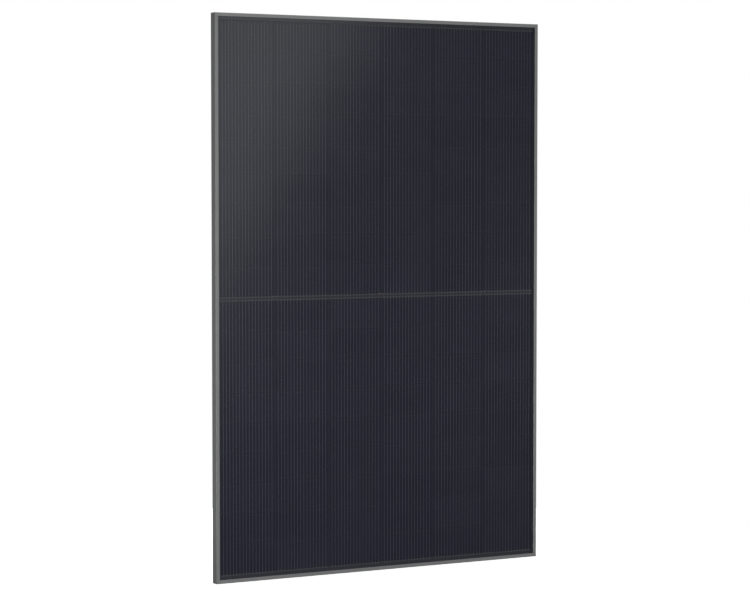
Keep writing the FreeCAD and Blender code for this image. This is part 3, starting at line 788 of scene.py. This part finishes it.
class Piece:
    """One object on the bench, shaped by operators on faces and edges that are picked by place.

    Most methods give the piece back, so that one step can follow another. A step that needs object mode goes
    there by itself.
    """

    flat_angle = 0.5

    def __init__(self, name: str) -> None:
        """Takes the object that was just made active, and names it."""
        self.obj = bpy.context.object
        self.obj.name = self.obj.data.name = name

    @staticmethod
    def clear_bench() -> None:
        """Leaves edit mode and deselects everything."""
        if bpy.context.mode != "OBJECT":
            bpy.ops.object.mode_set(mode="OBJECT")
        bpy.ops.object.select_all(action="DESELECT")

    @classmethod
    def block(cls, name: str, low: Point, high: Point) -> "Piece":
        """A block between two corners.

        Args:
            name: The piece's name.
            low: The corner with the least x, y and z, in metres.
            high: The corner with the most.

        Returns:
            The piece.
        """
        cls.clear_bench()
        middle = [(a + b) / 2 for a, b in zip(low, high)]
        bpy.ops.mesh.primitive_cube_add(size=1, location=middle, scale=[b - a for a, b in zip(low, high)])
        return cls(name).settle()

    @classmethod
    def drum(cls, name: str, middle: Point, radius: float, length: float, sides: int) -> "Piece":
        """A drum with its axis along x.

        Args:
            name: The piece's name.
            middle: Its middle, in metres.
            radius: Its radius, in metres.
            length: Its length, in metres.
            sides: The number of its sides.

        Returns:
            The piece.
        """
        cls.clear_bench()
        bpy.ops.mesh.primitive_cylinder_add(vertices=sides, radius=radius, depth=length, location=middle,
                                            rotation=(0, math.pi / 2, 0))
        return cls(name).settle()

    @classmethod
    def from_node(cls, name: str, node: str) -> "Piece":
        """A copy of a CAD node with its triangles merged, ready to have its edges softened.

        Args:
            name: The piece's name.
            node: The node's name.

        Returns:
            The piece.
        """
        cls.clear_bench()
        obj = bpy.data.objects.new(name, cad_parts[node].data.copy())
        bpy.context.scene.collection.objects.link(obj)
        bpy.context.view_layer.objects.active = obj
        piece = cls(name).whole()
        bpy.ops.mesh.remove_doubles(threshold=HAIR)
        bpy.ops.mesh.dissolve_limited(angle_limit=math.radians(cls.flat_angle))
        return piece

    def settle(self) -> "Piece":
        """Moves the object's place, turn and size into its mesh."""
        bpy.ops.object.transform_apply(location=True, rotation=True, scale=True)
        return self

    def activate(self) -> None:
        """Leaves edit mode and makes this the only selected object."""
        self.clear_bench()
        self.obj.select_set(True)
        bpy.context.view_layer.objects.active = self.obj

    def edit(self) -> None:
        """Goes into edit mode with nothing selected."""
        if bpy.context.mode == "OBJECT":
            self.activate()
            bpy.ops.object.mode_set(mode="EDIT")
        bpy.ops.mesh.select_all(action="DESELECT")

    def whole(self) -> "Piece":
        """Goes into edit mode with all of the mesh selected.

        Returns:
            The piece.
        """
        self.edit()
        bpy.ops.mesh.select_all(action="SELECT")
        return self

    def pick(self, kind: Element, test: Callable[[bmesh.types.BMFace | bmesh.types.BMEdge], bool]) -> "Piece":
        """Goes into edit mode with the faces or the edges selected that pass a test.

        Args:
            kind: What to select.
            test: Says whether one of them is selected.

        Returns:
            The piece.
        """
        self.edit()
        bpy.ops.mesh.select_mode(type=kind.name)
        mesh = bmesh.from_edit_mesh(self.obj.data)
        for element in getattr(mesh, kind.value):
            if test(element):
                element.select_set(True)
        bmesh.update_edit_mesh(self.obj.data)
        return self

    def faces(self, test: Callable[[Vector, Vector], bool]) -> "Piece":
        """Selects the faces whose middle and normal pass a test."""
        return self.pick(Element.FACE, lambda face: test(face.calc_center_median(), face.normal))

    def edges(self, test: Callable[[Vector, Vector], bool]) -> "Piece":
        """Selects the edges whose two ends pass a test."""
        return self.pick(Element.EDGE, lambda edge: test(edge.verts[0].co, edge.verts[1].co))

    def bevel(self, width: float, segments: int = 2) -> "Piece":
        """Bevels the selected edges."""
        bpy.ops.mesh.bevel(offset=width, segments=segments, affect="EDGES", clamp_overlap=True)
        return self

    def inset(self, thickness: float, depth: float = 0.0, each: bool = False) -> "Piece":
        """Insets the selected faces."""
        bpy.ops.mesh.inset(thickness=thickness, depth=depth, use_individual=each, use_even_offset=True)
        return self

    def extrude(self, by: Point) -> "Piece":
        """Extrudes the selected faces."""
        bpy.ops.mesh.extrude_region_move(TRANSFORM_OT_translate={"value": by})
        return self

    def slice_at(self, axis: Axis, places: Iterable[float]) -> "Piece":
        """Cuts the whole mesh by planes across an axis, leaving both sides.

        Args:
            axis: The axis.
            places: Where on it the planes are, in metres.

        Returns:
            The piece.
        """
        for place in places:
            self.whole()
            bpy.ops.mesh.bisect(plane_co=axis.of(place), plane_no=axis.of(1.0))
        return self

    def modify(self, kind: str, **values: object) -> "Piece":
        """Adds a modifier and applies it.

        Args:
            kind: The modifier's type.
            values: Its settings.

        Returns:
            The piece.
        """
        self.activate()
        modifier = self.obj.modifiers.new(kind.lower(), kind)
        for name, value in values.items():
            setattr(modifier, name, value)
        bpy.ops.object.modifier_apply(modifier=modifier.name)
        return self

    def repeat(self, count: int, axis: Axis, step: float) -> "Piece":
        """Repeats the mesh along an axis, by a step in millimetres."""
        return self.modify("ARRAY", count=count, use_relative_offset=False, use_constant_offset=True,
                           constant_offset_displace=axis.of(step * MM))

    def join(self, other: "Piece") -> "Piece":
        """Takes another piece into this one.

        Args:
            other: The other piece.

        Returns:
            The piece.
        """
        self.activate()
        other.obj.select_set(True)
        bpy.ops.object.join()
        return self

    def combine(self, other: "Piece", what: Solid) -> "Piece":
        """Cuts, or fuses, this piece with another one, which is used up.

        Args:
            other: The other piece.
            what: What is done.

        Returns:
            The piece.
        """
        self.modify("BOOLEAN", operation=what.value, object=other.obj, solver="EXACT")
        bpy.data.objects.remove(other.obj)
        return self

    def soften(self, width: float, segments: int = 2, angle: float = 35.0) -> "Piece":
        """Rounds every edge that is sharper than an angle in degrees, by a width in millimetres."""
        return self.modify("BEVEL", width=width * MM, segments=segments, limit_method="ANGLE",
                           angle_limit=math.radians(angle), use_clamp_overlap=True)

    def copied(self, name: str) -> "Piece":
        """A copy with a mesh of its own, in edit mode with all of it selected.

        Args:
            name: The copy's name.

        Returns:
            The copy.
        """
        self.activate()
        bpy.ops.object.duplicate()
        return Piece(name).whole()

    def mirrored(self, name: str, axis: Axis, place: float) -> "Piece":
        """A copy on the other side of a plane across an axis.

        Args:
            name: The copy's name.
            axis: The axis.
            place: Where on it the plane is, in metres.

        Returns:
            The copy.
        """
        copy = self.copied(name)
        bpy.ops.transform.resize(value=axis.of(-1.0, 1.0), center_override=axis.of(place))
        bpy.ops.mesh.flip_normals()
        return copy

    def shifted(self, name: str, by: Point) -> "Piece":
        """A copy moved by a distance.

        Args:
            name: The copy's name.
            by: The distance, in metres.

        Returns:
            The copy.
        """
        copy = self.copied(name)
        bpy.ops.transform.translate(value=by)
        return copy

    def hand_over(self, finish: Finish, slot: str, stands_for: Sequence[str] = (),
                  angle: float = 30.0) -> None:
        """Finishes the piece: shading, material, and its place on the frame.

        Args:
            finish: Its finish.
            slot: The record's material slot. Not used.
            stands_for: The CAD nodes that it replaces.
            angle: Edges sharper than this, in degrees, stay sharp.
        """
        self.activate()
        bpy.ops.object.shade_smooth_by_angle(angle=math.radians(angle))
        self.modify("WEIGHTED_NORMAL", keep_sharp=True)
        self.obj.data.materials.clear()
        self.obj.data.materials.append(finish.material())
        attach(self.obj, BODY)
        if stands_for:
            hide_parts(*stands_for)
        log.info("%s: %d faces", self.obj.name, len(self.obj.data.polygons))


def let_light_through(obj: bpy.types.Object) -> None:
    """Lets lamps and bounced light pass an object without bending, so that what is behind is lit cleanly."""
    obj.visible_shadow = obj.visible_diffuse = obj.visible_glossy = False


def dress(finish: Finish, *nodes: str) -> None:
    """Gives CAD nodes their finish.

    Args:
        finish: The finish.
        nodes: The nodes' names.
    """
    for node in nodes:
        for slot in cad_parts[node].material_slots:
            slot.material = finish.material()
        log.info("%s: %s", node, finish.name)


# ---------------------------------------------------------------- the module

@dataclass
class FrameRails:
    """The mitred rails with softened edges, their corner keys and the sealant."""

    edge_round: float = 0.25

    def build(self) -> None:
        """Softens each rail, and dresses the keys and the sealant."""
        sides = {"left": Finishes.upright_rail, "right": Finishes.upright_rail,
                 "bottom": Finishes.across_rail, "top": Finishes.across_rail}
        for side, finish in sides.items():
            node = "frame_rail_" + side
            piece = Piece.from_node("rail_" + side, node).soften(self.edge_round)
            piece.hand_over(finish, "anodised_frame", [node])
        dress(Finishes.key, "corner_keys")
        dress(Finishes.seal, "frame_sealant", "box_adhesive")


@dataclass
class Laminate:
    """The glass and the layers behind it."""

    sheet_inset: float = 0.4
    sheet_clear: float = 0.05
    sheet_corner: float = 2.0
    sheet_round: float = 0.12
    film_clear: float = 0.01
    film_relief: float = 0.12
    relief_slope: float = 1.4
    ribbon_relief: float = 0.08
    film_crease: float = 2.0
    slot_width: float = 5.0
    slot_height: float = 1.25
    slot_from_middle: float = 5.0
    slot_above: float = 6.375
    slot_front: float = 6.0
    slot_back: float = 9.0

    def build(self) -> None:
        """Dresses the glass and the black ground, and builds the clear sheet and the rear film."""
        dress(Finishes.glass, "front_glass")
        let_light_through(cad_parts["front_glass"])
        dress(Finishes.ground, "rear_encapsulant")
        self.clear_sheet()
        self.rear_film()

    @staticmethod
    def sheet(name: str, front: float, back: float, inset: float = 0.0) -> Piece:
        """A block of the laminate's size between two depths.

        Args:
            name: The piece's name.
            front: The depth of its front.
            back: The depth of its back.
            inset: How much smaller it is at each side.

        Returns:
            The piece.
        """
        edge = Layout.laminate_inset + inset
        half = Layout.width / 2 - edge
        return Piece.block(name, spot(-half, front, edge), spot(half, back, Layout.length - edge))

    def clear_sheet(self) -> None:
        """The front encapsulant, with its squeezed edge, a hair clear of the glass and the wires."""
        piece = self.sheet("front_encapsulant_sheet", Layout.glass_back + self.sheet_clear,
                           Layout.wires_front - self.sheet_clear, self.sheet_inset)
        piece.edges(runs_back).bevel(self.sheet_corner * MM, 4).soften(self.sheet_round)
        piece.hand_over(Finishes.clear, "clear_encapsulant", ["front_encapsulant"])
        let_light_through(piece.obj)

    @staticmethod
    def cell_lines() -> tuple[list[float], list[float]]:
        """Where the cells' sides are.

        Returns:
            The x and the z of every side in order, in metres.
        """
        xs = [(Layout.field_left + column * Layout.column_pitch + side) * MM
              for column in range(Layout.columns) for side in (0, Layout.cell_width)]
        zs = [(Layout.middle + half * (Layout.centre_gap / 2 + row * Layout.row_pitch + side)) * MM
              for half in (1, -1) for row in range(Layout.rows) for side in (0, Layout.cell_height)]
        return sorted(xs), sorted(zs)

    @staticmethod
    def ribbon_lines() -> list[float]:
        """The z of the sides of the centre and the end ribbons, in metres."""
        return sorted((Layout.middle + half * (start + side)) * MM for half in (1, -1)
                      for start in Layout.ribbon_starts.values() for side in (0, Layout.ribbon_width))

    def rear_film(self) -> None:
        """The backsheet, drawn down over every cell and ribbon so that their outlines show."""
        base = Layout.backsheet_back - self.film_relief
        piece = self.sheet("rear_film", Layout.backsheet_front + self.film_clear, base)
        xs, zs = self.cell_lines()
        ribbons = self.ribbon_lines()
        piece.slice_at(Axis.ACROSS, xs).slice_at(Axis.UP, zs + ribbons)
        rear = at_depth(base) - HAIR

        def inside(value: float, lines: Sequence[float]) -> bool:
            """Whether a value is between the first and second line of a pair."""
            return any(a < value < b for a, b in zip(lines[::2], lines[1::2]))

        piece.faces(lambda c, n: c.y > rear and inside(c.x, xs) and inside(c.z, zs))
        piece.inset(self.relief_slope * MM, self.film_relief * MM, each=True)
        piece.faces(lambda c, n: c.y > rear and xs[0] < c.x < xs[-1] and inside(c.z, ribbons))
        piece.inset(self.relief_slope / 2 * MM, self.ribbon_relief * MM)
        for middle in Layout.box_middles:
            for side in (-1, 1):
                self.lead_slot(piece, middle + side * self.slot_from_middle)
        piece.hand_over(Finishes.film, "backsheet", ["backsheet"], angle=self.film_crease)

    def lead_slot(self, film: Piece, x: float) -> None:
        """Cuts the slot that a lead comes through.

        Args:
            film: The rear film.
            x: The middle of the slot.
        """
        z = Layout.middle + self.slot_above
        half_x, half_z = self.slot_width / 2, self.slot_height / 2
        film.combine(Piece.block("lead_slot", spot(x - half_x, self.slot_front, z - half_z),
                                 spot(x + half_x, self.slot_back, z + half_z)), Solid.CUT)


@dataclass
class CellField:
    """The strings of cells, their wires and ribbons, and the solder on them."""

    pad_width: float = 1.3
    pad_height: float = 1.1
    small_pad: float = 0.7
    pad_from_edge: float = 6.2
    pads_per_wire: int = 6
    pad_sunk: float = 0.02
    pad_proud: float = 0.03
    pad_corner: float = 0.3
    joint_width: float = 1.1
    joint_height: float = 3.2
    joint_proud: float = 0.02
    joint_sunk: float = 0.05
    joint_inset: float = 0.22
    joint_corner: float = 0.3
    joint_round: float = 0.06

    def build(self) -> None:
        """Dresses the cells, wires and ribbons, and adds the solder pads and joints."""
        strings = [f"{half}_{column + 1}" for half in ("upper", "lower") for column in range(Layout.columns)]
        dress(Finishes.silicon, *("cell_string_" + string for string in strings))
        dress(Finishes.wire, *("wires_" + string for string in strings))
        dress(Finishes.ribbon, "end_ribbons_top", "end_ribbons_bottom", "centre_ribbons", "ribbon_leads")
        self.pads()
        for name, start in Layout.ribbon_starts.items():
            self.joints(name, Layout.middle + start + Layout.ribbon_width / 2)

    def pad(self, name: str, z: float, width: float, height: float) -> Piece:
        """One solder pad on a cell's front under the first wire, with its corners cut.

        Args:
            name: The piece's name.
            z: The z of its middle.
            width: Its width.
            height: Its height.

        Returns:
            The piece.
        """
        x = Layout.first_wire
        piece = Piece.block(name, spot(x - width / 2, Layout.cell_front - self.pad_proud, z - height / 2),
                            spot(x + width / 2, Layout.cell_front + self.pad_sunk, z + height / 2))
        return piece.edges(runs_back).bevel(height * self.pad_corner * MM, 1)

    def pads(self) -> None:
        """The pads of the first upper string, then copies on the other strings."""
        z = Layout.middle + Layout.centre_gap / 2 + self.pad_from_edge
        reach = Layout.cell_height - 2 * self.pad_from_edge
        step = reach / (self.pads_per_wire - 1)
        first = self.pad("pads_upper_1", z, self.pad_width, self.pad_height).repeat(2, Axis.UP, reach)
        small = self.pad("small", z + step, self.small_pad, self.small_pad)
        first.join(small.repeat(self.pads_per_wire - 2, Axis.UP, step))
        first.repeat(Layout.wires, Axis.ACROSS, Layout.wire_pitch)
        first.repeat(Layout.rows, Axis.UP, Layout.row_pitch)
        lower = first.mirrored("pads_lower_1", Axis.UP, Layout.middle * MM)
        for column in range(1, Layout.columns):
            by = Axis.ACROSS.of(column * Layout.column_pitch * MM)
            for piece, half in ((first, "upper"), (lower, "lower")):
                piece.shifted(f"pads_{half}_{column + 1}", by).hand_over(Finishes.solder, "tinned_copper")
        for piece in (first, lower):
            piece.hand_over(Finishes.solder, "tinned_copper")

    def joints(self, name: str, z: float) -> None:
        """The low mounds of solder where every wire crosses a ribbon, and the same in the lower half.

        Args:
            name: The ribbon's name.
            z: The z of its middle, in the upper half.
        """
        x, half_x, half_z = Layout.first_wire, self.joint_width / 2, self.joint_height / 2
        upper = Piece.block(f"solder_{name}_upper",
                            spot(x - half_x, Layout.wires_front - self.joint_proud, z - half_z),
                            spot(x + half_x, Layout.cell_front + self.joint_sunk, z + half_z))
        upper.faces(lambda c, n: n.y < -STEEP).inset(self.joint_inset * MM)
        upper.edges(runs_back).bevel(self.joint_corner * MM, 1).soften(self.joint_round, 1, 60.0)
        upper.repeat(Layout.wires, Axis.ACROSS, Layout.wire_pitch)
        upper.repeat(Layout.columns, Axis.ACROSS, Layout.column_pitch)
        lower = upper.mirrored(f"solder_{name}_lower", Axis.UP, Layout.middle * MM)
        for piece in (upper, lower):
            piece.hand_over(Finishes.solder, "tinned_copper")


@dataclass
class JunctionBox:
    """One split junction box on the rear film."""

    number: int
    middle: float
    gland: Gland
    tray_round: float = 0.25
    half_width: float = 24.0
    grow: float = 1.5
    radius: float = 7.5
    skirt: float = 5.0
    top: float = 1.8
    wall: float = 1.3
    rim_round: float = 1.1
    panel_inset: float = 4.2
    panel_slope: float = 0.5
    edge_round: float = 0.18
    bar_root: float = 0.9
    rib_count: int = 5
    rib_pitch: float = 7.0
    rib_reach: float = 16.0
    rib_first: float = -14.8
    rib_width: float = 1.6
    rib_below: float = 0.05
    rib_round: float = 0.3
    window_from_middle: float = 24.0
    window_half_length: float = 4.7
    window_half_height: float = 1.2
    window_up: float = 2.0
    window_in: float = 2.2
    window_out: float = 1.0
    notch_in: float = 4.0
    notch_room: float = 0.2
    notch_length: float = 12.0
    mark_from_middle: float = 27.0
    mark_long: float = 3.2
    mark_thin: float = 0.7
    mark_below: float = 0.1

    def build(self) -> None:
        """Builds the tray, the lid and the nut, and dresses what is inside."""
        node = f"junction_base_{self.number}"
        tray = Piece.from_node(f"box_tray_{self.number}", node).soften(self.tray_round)
        tray.hand_over(Finishes.box, "box_plastic", [node])
        self.lid()
        dress(Finishes.contact, f"terminals_{self.number}")
        dress(Finishes.epoxy, f"bypass_diode_{self.number}")
        dress(Finishes.gel, f"potting_{self.number}")
        if self.gland is not Gland.NONE:
            CapNut(self.middle, self.gland).build()
            dress(Finishes.rubber, f"gland_seal_{self.gland.name.lower()}")

    def at(self, x: float, back: float, z: float) -> Point:
        """A place in metres, from the box's middle in millimetres."""
        return spot(self.middle + x, back, Layout.middle + z)

    def lid(self) -> None:
        """The snap-on lid: rounded edges, a sunk panel with ribs, and windows over the hooks."""
        front, back = Layout.base_back - self.skirt, Layout.base_back + self.top
        a, b = Layout.box_half_length + self.grow, self.half_width + self.grow
        lid = Piece.block(f"box_lid_{self.number}", self.at(-a, front, -b), self.at(a, back, b))
        lid.edges(runs_back).bevel(self.radius * MM, 8)
        rear, fore = at_depth(back) - HAIR, at_depth(front) + HAIR
        lid.edges(lambda p, q: p.y > rear and q.y > rear).bevel(self.rim_round * MM, 4)
        lid.faces(lambda c, n: n.y > STEEP and c.y > rear).inset(self.panel_inset * MM)
        lid.inset(self.panel_slope * MM, -self.panel_slope * MM)
        lid.faces(lambda c, n: n.y < -STEEP and c.y < fore).inset(self.wall * MM)
        lid.extrude(Axis.BACK.of(self.skirt * MM))
        self.panel_ribs(lid, back)
        self.windows(lid, b)
        if self.gland is not Gland.NONE:
            self.neck_notch(lid)
            self.polarity_mark(lid, back)
        lid.soften(self.edge_round, 2, 50.0)
        lid.hand_over(Finishes.box, "box_plastic", [f"junction_lid_{self.number}"])

    def panel_ribs(self, lid: Piece, back: float) -> None:
        """Low bars across the sunk panel.

        Args:
            lid: The lid.
            back: The depth of its back.
        """
        low = self.at(-self.rib_reach, back - self.bar_root, self.rib_first)
        high = self.at(self.rib_reach, back - self.rib_below, self.rib_first + self.rib_width)
        bar = Piece.block("bar", low, high)
        bar.edges(lambda p, q: abs(p.y - q.y) < HAIR < p.y - low[1]).bevel(self.rib_round * MM)
        lid.combine(bar.repeat(self.rib_count, Axis.UP, self.rib_pitch), Solid.FUSE)

    def windows(self, lid: Piece, half: float) -> None:
        """Openings in the skirt that the base's hooks stand in.

        Args:
            lid: The lid.
            half: Half of its width.
        """
        depth = Layout.base_back - self.skirt + self.window_up
        for x in (-self.window_from_middle, self.window_from_middle):
            for side in (-1, 1):
                low, high = sorted((side * (half - self.window_in), side * (half + self.window_out)))
                cutter = Piece.block(
                    "window", self.at(x - self.window_half_length, depth - self.window_half_height, low),
                    self.at(x + self.window_half_length, depth + self.window_half_height, high))
                lid.combine(cutter, Solid.CUT)

    def neck_notch(self, lid: Piece) -> None:
        """The arch in the skirt over the gland's neck.

        Args:
            lid: The lid.
        """
        middle = self.at(self.gland.value * (Layout.box_half_length + self.notch_in), Layout.gland_axis, 0)
        radius = Layout.neck_radius + self.notch_room
        lid.combine(Piece.drum("notch", middle, radius * MM, self.notch_length * MM, 48), Solid.CUT)

    def polarity_mark(self, lid: Piece, back: float) -> None:
        """A raised minus on the left box and a raised plus on the right one.

        Args:
            lid: The lid.
            back: The depth of its back.
        """
        x = self.gland.value * self.mark_from_middle
        arms = [(self.mark_long, self.mark_thin), (self.mark_thin, self.mark_long)]
        for half_x, half_z in arms if self.gland is Gland.RIGHT else arms[:1]:
            mark = Piece.block("mark", self.at(x - half_x, back - self.bar_root, -half_z),
                               self.at(x + half_x, back - self.mark_below, half_z))
            lid.combine(mark, Solid.FUSE)


@dataclass
class CapNut:
    """A gland's ribbed cap nut: raised grips, a rounded mouth and a bore for the neck and the cable."""

    middle: float
    gland: Gland
    radius: float = 7.65
    start: float = 3.5
    end: float = 13.8
    ribs: int = 18
    facets: int = 4
    grip_height: float = 0.45
    grip_inset: float = 0.2
    most_slant: float = 0.1
    rim_round: float = 1.1
    neck_end: float = 12.0
    neck_room: float = 0.15
    mouth_radius: float = 3.6
    bore_length: float = 20.0
    edge_round: float = 0.3

    def at(self, beyond: float) -> Point:
        """A place on the nut's axis, from how far it is beyond the end of the box."""
        x = self.middle + self.gland.value * (Layout.box_half_length + beyond)
        return spot(x, Layout.gland_axis, Layout.middle)

    def is_grip(self, c: Vector, n: Vector) -> bool:
        """Whether a face belongs to one of the raised grips.

        Args:
            c: The face's middle.
            n: Its normal.

        Returns:
            True if it does.
        """
        if abs(n.x) > self.most_slant:
            return False
        _, y, z = self.at(0)
        turn = math.atan2(c.z - z, c.y - y) / math.tau * self.ribs * self.facets
        return math.floor(turn) % self.facets < self.facets // 2

    def build(self) -> None:
        """A drum, with its outer rim rounded and its grips raised, then its bores."""
        name = self.gland.name.lower()
        nut = Piece.drum(f"cap_nut_{name}", self.at((self.start + self.end) / 2),
                         (self.radius - self.grip_height) * MM, (self.end - self.start) * MM,
                         self.ribs * self.facets)
        outer = self.at(self.end)[0]
        nut.edges(lambda p, q: max(abs(p.x - outer), abs(q.x - outer)) < 10 * HAIR)
        nut.bevel(self.rim_round * MM, 3)
        nut.faces(self.is_grip).inset(self.grip_inset * MM, self.grip_height * MM)
        for beyond, radius, sides in (
                (self.neck_end - self.bore_length / 2, Layout.neck_radius + self.neck_room, 64),
                (self.neck_end, self.mouth_radius, 48)):
            bore = Piece.drum("bore", self.at(beyond), radius * MM, self.bore_length * MM, sides)
            nut.combine(bore, Solid.CUT)
        nut.soften(self.edge_round, 3, 50.0)
        nut.hand_over(Finishes.nut, "box_plastic", [f"gland_nut_{name}"])


@dataclass
class RatingLabel:
    """The blank label above the middle box."""

    width: float = 110.0
    height: float = 70.0
    above: float = 130.0
    thickness: float = 0.15
    radius: float = 3.0
    edge_round: float = 0.04

    def build(self) -> None:
        """A thin film with rounded corners, ruled but not printed."""
        half, foot = self.width / 2, Layout.middle + self.above
        low = spot(-half, Layout.backsheet_back, foot)
        high = spot(half, Layout.backsheet_back + self.thickness, foot + self.height)
        label = Piece.block("blank_label", low, high)
        label.edges(runs_back).bevel(self.radius * MM, 6).soften(self.edge_round, 1, 50.0)
        finish = RuledLabel("blank_label", grey(0.62, 0.01), grey(0.12), low[::2], high[::2])
        label.hand_over(finish, "label_film", ["rating_label"])


# ---------------------------------------------------------------- the studio

@dataclass(frozen=True)
class Lamp:
    """A soft rectangular lamp."""

    name: str
    place: Point
    aim: Point
    size: tuple[float, float]
    radiance: float
    roll: float = 0.0

    def build(self) -> None:
        """Hangs the lamp and turns it to its aim. It lights and reflects, but the camera doesn't see it."""
        light = bpy.data.lights.new(self.name, "AREA")
        light.shape = "RECTANGLE"
        light.size, light.size_y = self.size
        light.energy = self.radiance * math.pi * self.size[0] * self.size[1]
        obj = bpy.data.objects.new(self.name, light)
        obj.location = self.place
        facing = (Vector(self.aim) - Vector(self.place)).to_track_quat("-Z", "Y")
        obj.rotation_euler = (facing @ Quaternion((0, 0, 1), math.radians(self.roll))).to_euler()
        obj.visible_camera = False
        bpy.context.scene.collection.objects.link(obj)
        log.info("lamp %s", self.name)


@dataclass
class Studio:
    """The floor, the lamps, the even surroundings and the camera."""

    floor_radius: float = 1.5
    floor_drop: float = 0.0003
    floor_sides: int = 128
    seen_sky: float = 1.0
    lighting_sky: float = 0.12
    azimuth: float = -27.87
    elevation: float = 2.88
    distance: float = 7.209
    lens: float = 110.7
    sensor: float = 36.0
    nearest: float = 0.05
    farthest: float = 100.0
    aim_across: float = -0.0157
    aim_height: float = 0.8471

    lamps: tuple[Lamp, ...] = (
        Lamp("overhead", (0.0, 0.0, 4.8), (0.0, 0.0, 0.0), (2.4, 2.4), 10.0),
        Lamp("slanted_window", (0.53, -3.1, 1.66), (0.53, 0.0, 1.66), (1.4, 3.0), 1.55, -30.3),
        Lamp("front_soft", (-1.9, -3.0, 0.33), (0.0, 0.0, 0.5), (1.8, 0.6), 29.0),
        Lamp("right_front", (4.5, -2.6, 0.6), (0.0, 0.0, 0.6), (1.0, 1.0), 26.0),
        Lamp("left_soft", (-4.2, 0.6, 0.3), (0.0, 0.0, 0.7), (1.0, 1.6), 13.0),
        Lamp("right_soft", (4.2, 0.6, 1.0), (0.0, 0.0, 0.8), (1.0, 1.6), 10.0),
        Lamp("rear_soft", (1.6, 4.4, 1.8), (0.0, 0.0, 0.9), (1.6, 1.6), 12.0),
    )

    def build(self) -> None:
        """Sets up everything round the module."""
        self.floor()
        self.sky()
        for lamp in self.lamps:
            lamp.build()
        self.camera()
        bpy.context.scene.view_settings.view_transform = "Standard"

    def floor(self) -> None:
        """A wide round floor just under the module."""
        Piece.clear_bench()
        bpy.ops.mesh.primitive_circle_add(vertices=self.floor_sides, radius=self.floor_radius,
                                          fill_type="NGON", location=Axis.UP.of(-self.floor_drop))
        floor = Piece("studio_floor").settle().obj
        floor.data.materials.append(Finishes.floor.material())
        floor.visible_diffuse = floor.visible_glossy = False

    def sky(self) -> None:
        """Even surroundings: white to the camera, and a dim grey to the module."""
        world = bpy.data.worlds.new("surroundings")
        world.use_nodes = True
        s = ShaderTree(world.node_tree)
        seen = s.add("Background", {"Color": grey(1.0), "Strength": self.seen_sky})
        lighting = s.add("Background", {"Color": grey(1.0, -0.01), "Strength": self.lighting_sky})
        camera = s.add("LightPath").outputs["Is Camera Ray"]
        mixed = s.add("MixShader", {0: camera, 1: lighting.outputs[0], 2: seen.outputs[0]})
        s.add("OutputWorld", {"Surface": mixed.outputs[0]})
        bpy.context.scene.world = world

    def camera(self) -> None:
        """A long lens, a little above the module's middle and well to its left."""
        turn, rise = math.radians(self.azimuth), math.radians(self.elevation)
        away = Vector((math.sin(turn) * math.cos(rise), -math.cos(turn) * math.cos(rise), math.sin(rise)))
        aim = Vector((self.aim_across * math.cos(turn), self.aim_across * math.sin(turn), self.aim_height))
        data = bpy.data.cameras.new("camera")
        data.lens = self.lens
        data.sensor_width = self.sensor
        data.clip_start, data.clip_end = self.nearest, self.farthest
        obj = bpy.data.objects.new("camera", data)
        obj.location = aim + away * self.distance
        obj.rotation_euler = (-away).to_track_quat("-Z", "Y").to_euler()
        bpy.context.scene.collection.objects.link(obj)
        bpy.context.scene.camera = obj


def main() -> None:
    """Builds the module's looks and its studio."""
    logging.basicConfig(level=logging.INFO, format="%(name)s: %(message)s")
    FrameRails().build()
    Laminate().build()
    CellField().build()
    for i, (middle, gland) in enumerate(zip(Layout.box_middles, Gland)):
        JunctionBox(i + 1, middle, gland).build()
    RatingLabel().build()
    Studio().build()


if __name__ == "__main__":
    main()
